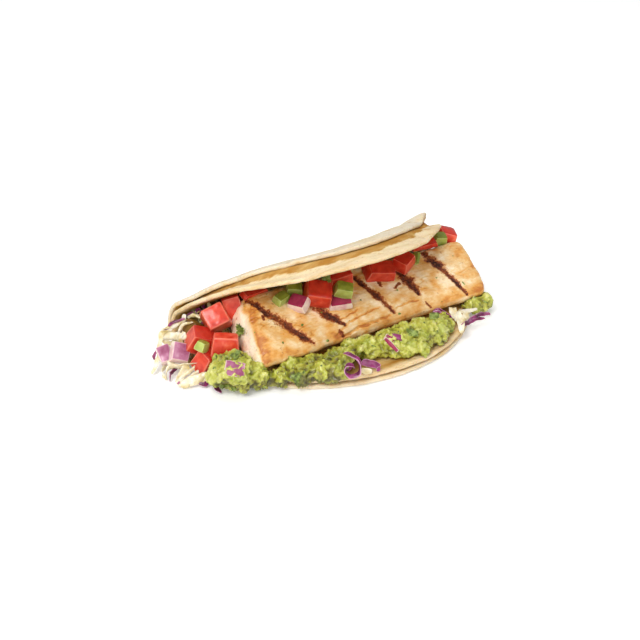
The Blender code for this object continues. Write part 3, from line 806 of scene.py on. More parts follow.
# ------------------------------------------------------------------------------------- cabbage
# Shreds: which way each lies broad, and the places and widths along it, in millimetres.
UPWARDS, SIDEWAYS, LEANING = (0.29, 0.37, 0.88), (0.79, -0.62, 0.0), (0.60, 0.76, 0.25)
LEFT_PALE_SHREDS = [
    (UPWARDS, [(-72.7, 33.0, 19.0, 2.2), (-76.4, 34.7, 17.0, 2.6), (-79.6, 37.3, 15.0, 2.4),
        (-80.9, 40.7, 12.0, 1.8)]),
    (UPWARDS, [(-77.6, 24.8, 15.0, 2.6), (-79.1, 29.1, 14.0, 3.6), (-80.9, 34.7, 12.5, 3.8),
        (-82.7, 36.1, 11.0, 3.2), (-81.6, 34.6, 9.5, 2.0), (-78.5, 34.0, 9.0, 1.4)]),
    (SIDEWAYS, [(-79.7, 33.7, 16.0, 1.8), (-82.1, 36.8, 14.0, 2.0), (-84.2, 36.1, 11.5, 2.0),
        (-85.8, 33.8, 8.5, 2.0), (-87.8, 31.8, 5.5, 2.0), (-90.9, 29.5, 3.0, 1.8),
        (-94.5, 26.2, 1.4, 1.4)]),
    (SIDEWAYS, [(-77.2, 26.9, 16.5, 1.8), (-79.2, 27.3, 14.0, 1.6), (-78.3, 26.6, 11.0, 1.4)]),
    (UPWARDS, [(-66.1, 30.3, 19.0, 1.6), (-68.1, 33.7, 19.0, 1.8), (-69.5, 36.7, 17.5, 1.4)]),
    (UPWARDS, [(-80.5, 18.0, 5.5, 2.2), (-84.1, 19.7, 4.5, 2.4), (-86.9, 22.4, 5.0, 2.2),
        (-87.4, 25.7, 6.0, 1.8)]),
    (SIDEWAYS, [(-82.0, 15.7, 5.5, 3.2), (-85.1, 15.7, 3.8, 4.0), (-88.5, 12.9, 2.4, 3.4),
        (-90.7, 9.8, 1.5, 1.6)]),
    (UPWARDS, [(-78.7, 5.2, 5.6, 3.4), (-84.4, 7.2, 3.8, 4.2), (-87.9, 8.2, 2.8, 4.2),
        (-91.0, 9.0, 1.9, 2.6)]),
    (UPWARDS, [(-77.4, 3.2, 6.0, 3.0), (-79.6, 4.6, 4.2, 3.4), (-81.9, 5.4, 2.9, 2.4)]),
    (SIDEWAYS, [(-70.5, 37.5, 19.0, 1.6), (-72.5, 35.0, 15.5, 2.0), (-74.0, 31.5, 12.0, 1.6)]),
    (UPWARDS, [(-84.0, 28.0, 3.6, 1.8), (-88.0, 27.0, 2.2, 2.4), (-91.0, 23.5, 1.6, 2.2),
        (-92.0, 19.0, 1.4, 1.4)]),
    (UPWARDS, [(-76.0, 16.0, 7.5, 1.2), (-81.0, 13.0, 6.4, 1.6), (-86.0, 12.4, 4.2, 1.6),
        (-90.5, 13.6, 2.0, 1.0)]),
    (UPWARDS, [(-78.0, 22.0, 8.5, 1.2), (-83.5, 24.0, 6.5, 1.8), (-88.5, 23.0, 3.6, 1.8),
        (-91.5, 20.5, 1.8, 1.0)]),
    (UPWARDS, [(-74.0, 8.0, 8.0, 1.4), (-79.5, 9.6, 5.6, 1.8), (-84.5, 10.4, 3.8, 1.6),
        (-88.5, 5.6, 1.6, 1.0)]),
    (SIDEWAYS, [(-80.0, 12.0, 8.5, 1.2), (-84.0, 16.5, 7.2, 1.5), (-87.0, 20.5, 5.0, 1.5),
        (-88.5, 24.5, 2.4, 1.0)]),
    (UPWARDS, [(-71.0, 29.0, 19.0, 1.0), (-74.5, 31.5, 17.6, 1.4), (-77.5, 31.0, 15.0, 1.4),
        (-80.0, 28.0, 12.4, 1.0)]),
]
LEFT_PURPLE_SHREDS = [
    (UPWARDS, [(-73.4, 32.7, 20.0, 1.2), (-77.0, 34.5, 18.4, 1.6), (-80.0, 36.5, 16.8, 1.1)]),
    (UPWARDS, [(-79.7, 35.5, 15.2, 1.4), (-81.2, 38.3, 13.2, 1.5), (-82.6, 38.7, 12.0, 1.0)]),
    (SIDEWAYS, [(-85.8, 36.1, 7.0, 1.0), (-88.1, 35.5, 5.0, 1.4), (-89.9, 32.8, 3.5, 0.9)]),
    (SIDEWAYS, [(-77.2, 2.6, 4.6, 1.7), (-78.6, 0.4, 2.8, 2.1), (-79.4, -2.2, 1.6, 2.1),
        (-78.9, -4.9, 1.3, 1.5)]),
    (UPWARDS, [(-83.6, 6.3, 2.6, 1.4), (-81.6, 4.4, 1.9, 2.2), (-78.8, 4.5, 2.6, 1.6)]),
    (SIDEWAYS, [(-89.5, 11.3, 3.0, 0.9), (-90.9, 11.1, 1.7, 0.9)]),
    (SIDEWAYS, [(-65.0, 35.6, 21.0, 2.2), (-65.2, 33.3, 19.6, 2.4), (-65.6, 31.8, 18.2, 1.6)]),
    (UPWARDS, [(-84.6, 22.0, 3.4, 1.6), (-89.0, 20.4, 2.0, 1.8), (-91.4, 17.0, 1.4, 1.0)]),
]
FRONT_PURPLE_SHREDS = [
    (LEANING, [(-32.6, -29.8, 15.9, 1.4), (-30.9, -31.2, 15.7, 2.2), (-28.7, -33.6, 14.6, 2.6),
        (-28.2, -35.4, 12.7, 2.6), (-28.8, -36.4, 10.4, 2.6), (-30.2, -36.6, 8.5, 2.6),
        (-32.3, -35.4, 7.8, 2.6), (-33.8, -33.8, 8.5, 2.6), (-33.6, -32.8, 10.2, 2.4),
        (-32.3, -32.9, 11.6, 2.2), (-30.7, -34.0, 11.7, 2.0), (-30.4, -35.0, 10.7, 1.4)]),
    (UPWARDS, [(-23.4, -22.1, 9.5, 2.0), (-24.7, -26.0, 8.6, 2.6), (-27.6, -28.3, 7.6, 2.8),
        (-30.3, -28.6, 7.0, 3.0), (-32.3, -30.8, 6.6, 2.4)]),
    (UPWARDS, [(-23.4, -30.4, 9.2, 2.2), (-20.8, -32.2, 8.6, 3.0), (-18.0, -34.0, 7.8, 3.2),
        (-17.2, -36.0, 6.8, 2.6), (-19.2, -36.6, 6.2, 1.8)]),
]
FRONT_PALE_SHREDS = [
    (UPWARDS, [(-25.0, -32.6, 6.6, 2.2), (-23.6, -34.6, 6.4, 3.0), (-21.6, -35.6, 6.2, 2.2)]),
]
RIGHT_PURPLE_SHREDS = [
    (UPWARDS, [(32.6, -12.2, 10.0, 1.2), (34.9, -14.4, 10.4, 2.2), (35.8, -17.7, 9.6, 2.6),
        (36.4, -21.2, 8.0, 1.8)]),
    (UPWARDS, [(37.4, -26.6, 7.2, 1.8), (40.8, -26.2, 7.2, 2.2), (44.4, -25.7, 7.0, 2.0),
        (48.3, -25.1, 6.7, 1.8), (52.0, -26.3, 6.2, 1.3)]),
    (UPWARDS, [(41.3, -26.2, 8.2, 1.2), (46.4, -25.0, 8.2, 1.7), (51.5, -24.3, 7.8, 1.8),
        (54.4, -25.3, 7.4, 1.6), (54.8, -26.3, 6.8, 1.0)]),
]
RIGHT_PALE_SHREDS = [
    (SIDEWAYS, [(41.2, -13.9, 9.8, 1.4), (39.4, -17.0, 9.0, 1.6), (38.3, -20.4, 7.6, 1.2)]),
    (SIDEWAYS, [(42.4, -15.0, 9.8, 1.6), (40.1, -19.1, 8.8, 1.8), (37.7, -22.9, 7.2, 1.3)]),
    (SIDEWAYS, [(42.4, -18.4, 9.4, 1.8), (39.9, -22.7, 8.0, 3.4), (37.2, -26.7, 6.9, 3.6),
        (34.5, -30.2, 6.0, 2.0)]),
    (SIDEWAYS, [(44.4, -20.4, 9.2, 1.8), (42.8, -23.9, 8.2, 3.2), (44.6, -24.8, 7.4, 2.0)]),
    (UPWARDS, [(44.0, -16.0, 8.0, 1.4), (49.0, -18.0, 7.4, 1.8), (54.0, -18.4, 7.4, 1.2)]),
]
# Loose shreds of the heap, each lying along X at the origin: length, bow and width.
LOOSE_SHREDS = [(16.0, 3.5, 1.5), (12.0, 2.0, 2.4), (19.0, 6.0, 1.2), (9.0, 2.5, 1.8)]
SHRED_THICKNESS = 0.22  # of its width
SHRED_CUP = 0.7
SHRED_WAVINESS, SHRED_RIPPLE = 2.0 * MM, 4.5  # how far and how long, the second in millimetres
SHRED_END = (0.07, 0.45)  # the tapered share of its length, and its width there
SHRED_STEP, SHRED_POINTS_AROUND = 0.4, 22
LOOSE_STEP, LOOSE_POINTS_AROUND = 1.2, 8
# What is strewn: spacing in millimetres, lean in radians, smallest share of full size, seed.
STREWING = {
    "cabbage_heap_pale": (3.0, 0.4, 0.55, 4),
    "cabbage_heap_purple": (5.5, 0.5, 0.5, 9),
    "herb_specks_fillet": (13.0, 0.3, 0.35, 3),
    "herb_specks_mash": (6.5, 0.3, 0.35, 5),
    "burnt_crumbs": (1.7, 0.4, 0.3, 8),
}
STREWING_DENSITY = 4.0e6  # so high that only the spacing counts

CORE_VOXEL = 0.9 * MM
BARE = (2.2 * MM, 4.2 * MM)  # gaps to the tortillas where shreds start and lie thickest
CORE_SINK = 2.0  # millimetres, from the heap's outline to the core
SPILL_X = -73.0 * MM  # left of it the core is drawn back, and only shreds lie there
SPILL_DRAWN_BACK = 0.65


def tree_with(name, **inputs):
    """An empty Geometry Nodes tree with named inputs and one geometry output, and its inputs."""
    tree = bpy.data.node_groups.new(name, "GeometryNodeTree")
    for label, kind in inputs.items():
        tree.interface.new_socket(label, in_out="INPUT", socket_type=f"NodeSocket{kind}")
    tree.interface.new_socket("Result", in_out="OUTPUT", socket_type="NodeSocketGeometry")
    return tree, add(tree, "NodeGroupInput").outputs


def finish_tree(tree, geometry, material):
    """Last steps of every tree: real meshes, smooth, in one material."""
    real = out(tree, "GeometryNodeRealizeInstances", {"Geometry": geometry})
    smooth = out(tree, "GeometryNodeSetShadeSmooth", {"Geometry": real})
    coated = out(tree, "GeometryNodeSetMaterial", {"Geometry": smooth, "Material": material})
    add(tree, "NodeGroupOutput", {"Result": coated})


def grown(obj, tree, **values):
    """Runs a tree on an object with its inputs set, and keeps the result as a plain mesh."""
    modifier = obj.modifiers.new("nodes", "NODES")
    modifier.node_group = tree
    for item in tree.interface.items_tree:
        if item.in_out == "INPUT" and item.name in values:
            modifier[item.identifier] = values[item.name]
    return baked(obj)


def shred_tree():
    """Sweeps a thin cupped strip along each chain of edges, as wide and turned as its points say."""
    sizes = dict(Thickness="Float", Waviness="Float", Step="Float", Around="Int")
    tree, given = tree_with("shreds_along_paths", Paths="Geometry", **sizes, Material="Material")
    chain = out(tree, "GeometryNodeMeshToCurve", {"Mesh": given["Paths"]})
    spline = out(tree, "GeometryNodeCurveSplineType", {"Curve": chain}, spline_type="CATMULL_ROM")
    spaced = {"Curve": spline, "Length": given["Step"]}
    even = out(tree, "GeometryNodeResampleCurve", spaced, mode="LENGTH")
    way = out(tree, "GeometryNodeInputNamedAttribute", {"Name": "way"}, data_type="FLOAT_VECTOR")
    tangent = out(tree, "GeometryNodeInputTangent")
    flat = calc(tree, "CROSS_PRODUCT", way, tangent, kind="VectorMath")
    broad = calc(tree, "CROSS_PRODUCT", tangent, flat, kind="VectorMath")
    unit = calc(tree, "NORMALIZE", broad, kind="VectorMath")
    turned = out(tree, "GeometryNodeSetCurveNormal", {"Curve": even, "Normal": unit}, mode="FREE")
    width = out(tree, "GeometryNodeInputNamedAttribute", {"Name": "width"})
    along = add(tree, "GeometryNodeSplineParameter").outputs["Factor"]
    to_end = calc(tree, "PINGPONG", along, 0.5)
    end, end_width = SHRED_END
    taper = rescaled(tree, to_end, (0.0, end), (end_width, 1.0), interpolation_type="SMOOTHERSTEP")
    scale = calc(tree, "MULTIPLY", width, taper)
    sides = {"Width": 1.0, "Height": given["Thickness"]}
    box = out(tree, "GeometryNodeCurvePrimitiveQuadrilateral", sides)
    corners = {"Curve": box, "Count": 3, "Radius": SHRED_THICKNESS / 2.0}
    rounded = out(tree, "GeometryNodeFilletCurve", corners, mode="POLY")
    dense = out(tree, "GeometryNodeResampleCurve", {"Curve": rounded, "Count": given["Around"]})
    x = out(tree, "ShaderNodeSeparateXYZ", {0: out(tree, "GeometryNodeInputPosition")})
    lift = calc(tree, "MULTIPLY", calc(tree, "MULTIPLY", x, x), SHRED_CUP)
    cup = out(tree, "ShaderNodeCombineXYZ", {"Y": lift})
    cupped = out(tree, "GeometryNodeSetPosition", {"Geometry": dense, "Offset": cup})
    rim = {"Geometry": cupped, "Name": "rim", "Value": calc(tree, "ABSOLUTE", x)}
    marked = out(tree, "GeometryNodeStoreNamedAttribute", rim)
    swept = {"Curve": turned, "Profile Curve": marked, "Scale": scale, "Fill Caps": True}
    strip = out(tree, "GeometryNodeCurveToMesh", swept)
    ripple = add(tree, "ShaderNodeTexNoise", {"Scale": per(SHRED_RIPPLE), "Detail": 1.5}).outputs["Color"]
    centred = calc(tree, "SUBTRACT", ripple, (0.5, 0.5, 0.5), kind="VectorMath")
    push = calc(tree, "SCALE", centred, Scale=given["Waviness"], kind="VectorMath")
    wavy = out(tree, "GeometryNodeSetPosition", {"Geometry": strip, "Offset": push})
    finish_tree(tree, wavy, given["Material"])
    return tree


def make_shreds(name, strands, tree, material, step=SHRED_STEP, around=SHRED_POINTS_AROUND):
    """One piece of shreds swept along strands, with points a step apart and so many around."""
    verts, edges, widths, ways = [], [], [], []
    for way, strand in strands:
        for i, (x, y, z, width) in enumerate(strand):
            if i:
                edges.append((len(verts) - 1, len(verts)))
            verts.append((x * MM, y * MM, z * MM))
            widths.append(width * MM)
            ways.append(way)
    mesh = bpy.data.meshes.new(name)
    mesh.from_pydata(verts, edges, [])
    paint(mesh, "width", widths)
    mesh.attributes.new("way", "FLOAT_VECTOR", "POINT").data.foreach_set("vector", np.ravel(ways))
    sizes = {"Thickness": SHRED_THICKNESS, "Waviness": SHRED_WAVINESS, "Step": step * MM}
    return grown(placed(name, mesh), tree, Around=around, Material=material, **sizes)


def heap_tree():
    """Strews the shapes of a collection over a core, lying along its skin, each turned its own way."""
    shapes = dict(Core="Geometry", Shapes="Collection")
    sizes = dict(Spacing="Float", Lean="Float", Smallest="Float", Seed="Int")
    tree, given = tree_with("shapes_strewn_over_core", **shapes, **sizes, Material="Material")

    def random_number(low, high, **seed):
        return add(tree, "FunctionNodeRandomValue", {2: low, 3: high, **seed}, data_type="FLOAT").outputs[1]

    where = {
        "Mesh": given["Core"],
        "Distance Min": given["Spacing"],
        "Density Max": STREWING_DENSITY,
        "Density Factor": out(tree, "GeometryNodeInputNamedAttribute", {"Name": "open"}),
        "Seed": given["Seed"],
    }
    spots = add(tree, "GeometryNodeDistributePointsOnFaces", where, distribute_method="POISSON").outputs
    low = calc(tree, "MULTIPLY", given["Lean"], -1.0)
    lean = random_number(low, given["Lean"], Seed=given["Seed"])
    spin = random_number(0.0, 2.0 * math.pi)
    turn = out(tree, "ShaderNodeCombineXYZ", {"X": lean, "Z": spin})
    turns = {0: spots["Rotation"], 1: out(tree, "FunctionNodeEulerToRotation", {0: turn})}
    turned = out(tree, "FunctionNodeRotateRotation", turns, rotation_space="LOCAL")
    size = random_number(given["Smallest"], 1.0, Seed=given["Seed"])
    apart = {"Collection": given["Shapes"], "Separate Children": True, "Reset Children": True}
    strewn = {
        "Points": spots["Points"],
        "Instance": out(tree, "GeometryNodeCollectionInfo", apart),
        "Pick Instance": True,
        "Rotation": turned,
        "Scale": size,
    }
    finish_tree(tree, out(tree, "GeometryNodeInstanceOnPoints", strewn), given["Material"])
    return tree


def shapes_collection(name, objects):
    """Gathers objects as the shapes of a heap, out of the scene itself."""
    shapes = bpy.data.collections.new(name)
    for obj in objects:
        bpy.context.scene.collection.objects.unlink(obj)
        shapes.objects.link(obj)
    return shapes


def strew(name, core, tree, shapes, material):
    """A new piece: shapes strewn over a core, which stays as it is."""
    spacing, lean, smallest, seed = STREWING[name]
    values = {"Spacing": spacing * MM, "Lean": lean, "Smallest": smallest, "Seed": seed}
    return grown(placed(name, core.data.copy()), tree, Shapes=shapes, Material=material, **values)


def discard(shapes):
    for obj in list(shapes.objects):
        bpy.data.objects.remove(obj)
    bpy.data.collections.remove(shapes)


def bare_share(mesh, covers, near, far):
    """How far each point is from the covering pieces: 0 within near, 1 from far on."""
    trees = []
    for cover in covers:
        shape = bmesh.new()
        shape.from_mesh(cover.data)
        trees.append(BVHTree.FromBMesh(shape))
        shape.free()
    gaps = [min(tree.find_nearest(Vector(p))[3] for tree in trees) for p in coordinates(mesh)]
    return smoothstep(near, far, np.array(gaps))


def make_salad(covers, hidden, pale, purple, shreds):
    """The heap in the fold: a smaller core with shreds as relief, and loose shreds on what shows."""
    core = copy_of("cabbage_salad")
    core.name = "cabbage_core"
    remesh(core, CORE_VOXEL, 2)
    mesh = core.data
    points, outward = coordinates(mesh), normals(mesh)
    streaks = points * np.array([1.0, 0.45, 1.0])
    relief = 0.7 * wobble(streaks, 1.8 * MM, 61, 2) + 0.5 * wobble(points, 5 * MM, 62, 2)
    spilt = smoothstep(-72.0, -78.0, points[:, 0] / MM)
    moved = points + outward * ((relief - CORE_SINK - 1.0 * spilt) * MM)[:, None]
    moved[:, 0] += np.maximum(0.0, SPILL_X - moved[:, 0]) * SPILL_DRAWN_BACK
    move_points(mesh, moved)
    paint(mesh, "open", bare_share(mesh, covers, *BARE) * (1.0 - spilt))
    mesh.materials.clear()
    # The core wears a dark cabbage colour as painted shade between the shreds.
    mesh.materials.append(hidden)
    heap = heap_tree()
    loose = []
    for i, (length, bow, width) in enumerate(LOOSE_SHREDS):
        shares = np.linspace(-0.5, 0.5, 6)
        strand = [(length * t, 4.0 * bow * t * t - 0.5 * bow, 0.3 * i, width) for t in shares]
        strands = [((0.0, 1.0, 0.3), strand)]
        loose.append(make_shreds(f"loose_{i}", strands, shreds, pale, LOOSE_STEP, LOOSE_POINTS_AROUND))
    shapes = shapes_collection("loose_shreds", loose)
    pale_heap = strew("cabbage_heap_pale", core, heap, shapes, pale)
    purple_heap = strew("cabbage_heap_purple", core, heap, shapes, purple)
    discard(shapes)
    return core, pale_heap, purple_heap


# ---------------------------------------------------------------------------------------- dice
TOMATOES = [
    ((-63.6, 22.4, 21.2), (11.5, 11.5, 9.5), (47, -21, -16)),
    ((-52.8, 25.2, 22.4), (11.0, 9.0, 12.0), (-14, 6, 62)),
    ((-73.0, 20.4, 14.0), (11.5, 9.0, 10.0), (20, 21, -20)),
    ((-68.2, 7.8, 15.4), (12.5, 9.0, 9.0), (-6, 4, -34)),
    ((-75.6, 11.6, 8.0), (9.5, 9.0, 9.5), (24, 14, 12)),
    ((-19.8, 6.2, 26.8), (13.0, 10.5, 9.5), (34, 12, -28)),
    ((-5.4, 10.2, 29.0), (12.5, 8.0, 7.5), (20, -4, -6)),
    ((17.2, 8.4, 26.8), (14.5, 9.0, 6.6), (28, 10, -16)),
    ((31.2, 8.6, 27.8), (9.6, 8.6, 6.4), (18, -16, 20)),
    ((68.0, 21.6, 25.7), (9.0, 8.5, 8.5), (10, 20, -22)),
    ((-43.5, 21.4, 28.6), (14.0, 4.4, 2.4), (26, 2, 8)),
    ((50.6, 17.2, 28.4), (14.0, 5.0, 2.6), (27, 0, -8)),
]
ONIONS = [
    ((-30.5, 6.0, 25.4), (8.6, 7.0, 4.4), (32, 2, -63)),
    ((-11.4, 1.2, 22.4), (11.0, 7.0, 3.4), (29, -1, -19)),
    ((-82.0, 23.0, 9.6), (8.4, 9.0, 4.6), (51, 18, -27)),
    ((-86.2, 29.0, 7.4), (6.4, 8.6, 3.6), (39, -15, -18)),
    ((-75.2, -9.6, 12.8), (9.5, 8.0, 3.6), (38, 14, -31)),
]
PEPPERS = [
    ((-35.6, 12.0, 26.6), (7.2, 5.0, 4.4), (22, -8, 12)),
    ((-27.6, 13.4, 29.0), (7.5, 6.0, 4.0), (24, 6, -30)),
    ((-9.2, 0.8, 28.0), (8.4, 6.0, 5.5), (30, 14, -30)),
    ((39.9, 9.6, 26.6), (1.8, 6.4, 3.2), (60, 30, -12)),
    ((60.8, 17.8, 28.2), (6.5, 5.5, 5.0), (22, 8, -14)),
    ((-77.4, 11.9, 16.1), (5.5, 4.5, 4.0), (12, 18, 26)),
    ((-69.6, 32.0, 13.4), (8.0, 7.0, 7.5), (10, 28, 14)),
]
DICE_GRID = 17
EDGE_ROUNDING = 0.10  # of the smallest side
SKIN_FROM = 0.90  # of the half height, so only the top face
FACE_BULGE = 0.25 * MM
FACE_UNEVENNESS = 0.22 * MM
# The pale edge is a painted highlight, the glint of juice along each cut edge.
EDGE_GLINT = (0.09, 0.02, 0.6)  # where the pale edge starts and is full, of that side, and how pale
FIRST_DICE_SEED = 40


def make_dice(name, piece, taper, seed, flesh, skin):
    """A knife-cut block: a rounded box with slightly bulged and uneven faces, and skin on top."""
    middle, size, turn = piece
    shape = bmesh.new()
    bmesh.ops.create_cube(shape, size=2.0)
    bmesh.ops.subdivide_edges(shape, edges=shape.edges[:], cuts=DICE_GRID, use_grid_fill=True)
    half = np.array(size) * MM / 2.0
    rounding = EDGE_ROUNDING * min(size) * MM
    unit = np.array([v.co for v in shape.verts])
    unit = np.sign(unit) * (1.0 - (1.0 - np.abs(unit)) ** 1.5)
    box = unit * half
    inside = np.clip(box, -(half - rounding), half - rounding)
    outwards = box - inside
    outwards /= np.linalg.norm(outwards, axis=1, keepdims=True)
    places = inside + outwards * rounding
    bulge = np.prod(1.0 - np.abs(unit) ** 2 * (np.abs(outwards) < 0.5), axis=1)
    places += outwards * (FACE_BULGE * bulge)[:, None]
    places += outwards * (FACE_UNEVENNESS * wobble(places, 4 * MM, seed, 2))[:, None]
    narrowing = 1.0 - taper * (places[:, 2] / (2.0 * half[2]) + 0.5)
    places[:, 0] *= narrowing
    places[:, 1] *= narrowing
    turned = Euler([math.radians(angle) for angle in turn]).to_matrix().to_4x4()
    turned.translation = Vector(middle) * MM
    for vert, place in zip(shape.verts, places):
        vert.co = turned @ Vector(place)
    for face in shape.faces:
        face.smooth = True
        corners = [unit[v.index] for v in face.verts]
        face.material_index = int(min(c[2] for c in corners) > SKIN_FROM)
    mesh = mesh_of(shape, name)
    # Painted highlight: the edges are paler, for the glint of juice along them.
    beside = np.sort(half - np.abs(box), axis=1)[:, 1]
    start, full, paleness = EDGE_GLINT
    paint(mesh, "edge", paleness * smoothstep(start, full, beside / min(size) / MM))
    mesh.materials.append(flesh)
    mesh.materials.append(skin)
    return placed(name, mesh)


def make_dice_set(kind, pieces, taper, slot, looks, other_looks):
    """Makes a vegetable's dice. looks are their flesh and skin, and other_looks gives those of
    the dice, by number, that differ."""
    for i, piece in enumerate(pieces):
        number = i + 1
        pair = other_looks.get(number, looks)
        obj = make_dice(f"{kind}_dice_{number:02d}", piece, taper, FIRST_DICE_SEED + i, *pair)
        settle(obj, slot, f"{kind}_{number:02d}")


# ---------------------------------------------------------------------------- herbs and crumbs
# Small bits: name, slot, and middle, size and turn, in millimetres and degrees.
BITS = [
    ("onion_sliver_01", "red_onion", ((-7.6, -31.4, 13.4), (8.4, 1.5, 1.2), (73, 43, -53))),
    ("onion_sliver_02", "red_onion", ((-5.8, -29.2, 14.6), (6.0, 1.3, 1.2), (59, 37, -50))),
    ("cabbage_bit_01", "shredded_cabbage", ((-3.2, -29.8, 15.0), (5.0, 2.4, 1.0), (46, 12, -39))),
    ("pepper_bit_01", "green_pepper", ((22.0, -25.2, 15.2), (4.4, 3.8, 2.4), (26, 0, -38))),
    ("pepper_bit_02", "green_pepper", ((4.8, -32.4, 15.4), (3.2, 2.6, 1.6), (59, 0, -38))),
]
BIT_TAPER, BIT_SEED = 0.1, 90
# Herb leaves: middle, which way it faces, size and spin.
LEAVES = [
    ((-58.6, 10.6, 18.2), (-0.91, -0.05, 0.42), 3.2, 20.0),
    ((-14.8, 6.0, 32.8), (-0.4, -0.6, 0.7), 2.3, 70.0),
    ((-78.4, -6.2, 5.8), (-0.8, -0.5, 0.5), 2.4, 0.0),
    ((-75.6, -9.4, 5.4), (-0.6, -0.6, 0.6), 2.4, 40.0),
    ((-52.8, -23.6, 8.4), (-0.7, -0.4, 0.58), 2.6, 50.0),
    ((-72.6, -7.2, 18.4), (-0.5, -0.1, 0.83), 2.6, 80.0),
    ((3.0, -31.0, 16.2), (-0.1, -0.7, 0.7), 2.0, 10.0),
]


LEAF_HALF_THICKNESS = 0.14
LEAF_RINGS = [0.2, 0.4, 0.6, 0.8, 0.95, 1.0]  # shares of its reach
FLAKES = [(0.9, 0.6, 0.22), (0.6, 0.5, 0.25), (1.3, 0.4, 0.2)]
CRUMB_CHAR = (0.34, 0.5)  # charring where crumbs start and are thickest


def make_leaves(name, leaves, material):
    """Lobed leaves, thin, closed and a little cupped, as one piece."""
    around = np.linspace(0.0, 2.0 * math.pi, 64, endpoint=False)
    outline = 0.42 + 0.58 * np.abs(np.cos(1.5 * around)) ** 0.8
    outline *= 1.0 + 0.14 * np.cos(15.0 * around)
    verts, faces = [], []
    for i, (middle, facing, size, spin) in enumerate(leaves):
        turn = Vector(facing).to_track_quat("Z", "Y").to_matrix().to_4x4()
        turn.translation = Vector(middle) * MM
        turn = turn @ Euler((0.0, 0.0, math.radians(spin))).to_matrix().to_4x4()
        first = len(verts)
        for side, order in ((1.0, LEAF_RINGS), (-1.0, LEAF_RINGS[::-1])):
            for share in order:
                reach = share * outline * size
                cup = 0.16 * size * share**2 + 0.3 * np.cos(3.0 * around + i) * share
                z = cup + side * LEAF_HALF_THICKNESS * (0.2 if share == 1.0 else 1.0)
                for x, y, height in zip(reach * np.cos(around), reach * np.sin(around), z):
                    verts.append(turn @ (Vector((x, y, height)) * MM))
        pole = Vector((0.0, 0.0, LEAF_HALF_THICKNESS * MM))
        verts += [turn @ pole, turn @ -pole]
        rings, steps = 2 * len(LEAF_RINGS), len(around)
        for j in range(steps):
            k = (j + 1) % steps
            last = first + (rings - 1) * steps
            faces.append((len(verts) - 2, first + j, first + k))
            faces.append((len(verts) - 1, last + k, last + j))
            for ring in range(first, last, steps):
                faces.append((ring + j, ring + steps + j, ring + steps + k, ring + k))
    return new_object(name, verts, faces, material)


def make_crumbs(fillet, mash, herb, burnt):
    """Specks of herb strewn over the fillet and the mash, and charred crumbs on the grill marks."""
    flakes = []
    for i, size in enumerate(FLAKES):
        shape = bmesh.new()
        bmesh.ops.create_icosphere(shape, subdivisions=2, radius=1.0)
        mesh = mesh_of(shape, f"flake_{i}")
        mesh.shade_smooth()
        points = coordinates(mesh)
        points *= (1.0 + 0.3 * wobble(points, 0.8, 70 + i))[:, None]
        move_points(mesh, points * np.array(size) * MM)
        flakes.append(placed(mesh.name, mesh))
    shapes = shapes_collection("flakes", flakes)
    tree = heap_tree()
    on_fillet = strew("herb_specks_fillet", fillet, tree, shapes, herb)
    on_mash = strew("herb_specks_mash", mash, tree, shapes, herb)
    marked = placed("fillet_marked", fillet.data.copy())
    layers = marked.data.attributes
    char = np.empty(len(marked.data.vertices), np.float32)
    layers["char"].data.foreach_get("value", char)
    layers["open"].data.foreach_set("value", smoothstep(*CRUMB_CHAR, char).astype(np.float32))
    crumbs = strew("burnt_crumbs", marked, tree, shapes, burnt)
    bpy.data.objects.remove(marked)
    discard(shapes)
    return on_fillet, on_mash, crumbs


# --------------------------------------------------------------------------------------- stage
FLOOR_HALF_SIDE = 3.0
FLOOR_SHADE = (0.92, 0.92, 0.92, 1.0)
FLOOR_GLOW = 0.16  # keeps its far corners as pale as the middle
WHITE = (1.0, 1.0, 1.0, 1.0)
SURROUND_STRENGTH = 0.42
# Square lamps aimed at the origin: name, place, side in metres and power in watts.
LAMPS = [
    ("key", (-1.1, -0.55, 1.3), 0.8, 22.0),
    ("front", (-0.35, -1.33, 0.56), 0.9, 6.0),
    ("top", (0.15, 0.4, 1.6), 0.9, 7.0),
]
CAMERA_PLACE = Vector((-0.38154, -0.48782, 0.32629))
CAMERA_AIM = Vector((-0.01986, 0.00441, 0.01437))
CAMERA_LENS = 86.01
CAMERA_SENSOR = 36.0


def aimed(name, data, place, direction):
    """A lamp or camera at a place, looking along a direction."""
    obj = placed(name, data)
    obj.location = place
    obj.rotation_mode = "QUATERNION"
    obj.rotation_quaternion = direction.to_track_quat("-Z", "Y")
    return obj


def make_stage():
    """Plain pale floor, one large soft key lamp, two fills and an even pale surround."""
    glow = {"Emission_Color": WHITE, "Emission_Strength": FLOOR_GLOW}
    card, _, _ = start_material("floor_card", Roughness=0.9, Base_Color=FLOOR_SHADE, **glow)
    side = FLOOR_HALF_SIDE
    corners = [(-side, -side, 0), (side, -side, 0), (side, side, 0), (-side, side, 0)]
    floor = new_object("floor", corners, [(0, 1, 2, 3)], card)
    world = bpy.data.worlds.new("studio")
    bpy.context.scene.world = world
    world.use_nodes = True
    background = world.node_tree.nodes["Background"]
    background.inputs["Color"].default_value = WHITE
    background.inputs["Strength"].default_value = SURROUND_STRENGTH
    for name, place, size, power in LAMPS:
        lamp = bpy.data.lights.new(name, "AREA")
        lamp.size = size
        lamp.energy = power
        aimed(name, lamp, place, -Vector(place))


def make_camera():
    lens = bpy.data.cameras.new("camera")
    lens.lens = CAMERA_LENS
    lens.sensor_width = CAMERA_SENSOR
    camera = aimed("camera", lens, CAMERA_PLACE, CAMERA_AIM - CAMERA_PLACE)
    bpy.context.scene.camera = camera


# ---------------------------------------------------------------------------------------- main
# Colours of the dough: pale, gold and toasted; gold and toasted also paint the shade in the gap between the
# sheets.
DOUGH = {
    "griddled_masa_outer": ("#dfd2b9", "#dabd86", "#c8963f"),
    "griddled_masa_inner": ("#e5d1ab", "#c6a05f", "#ab772d"),
}
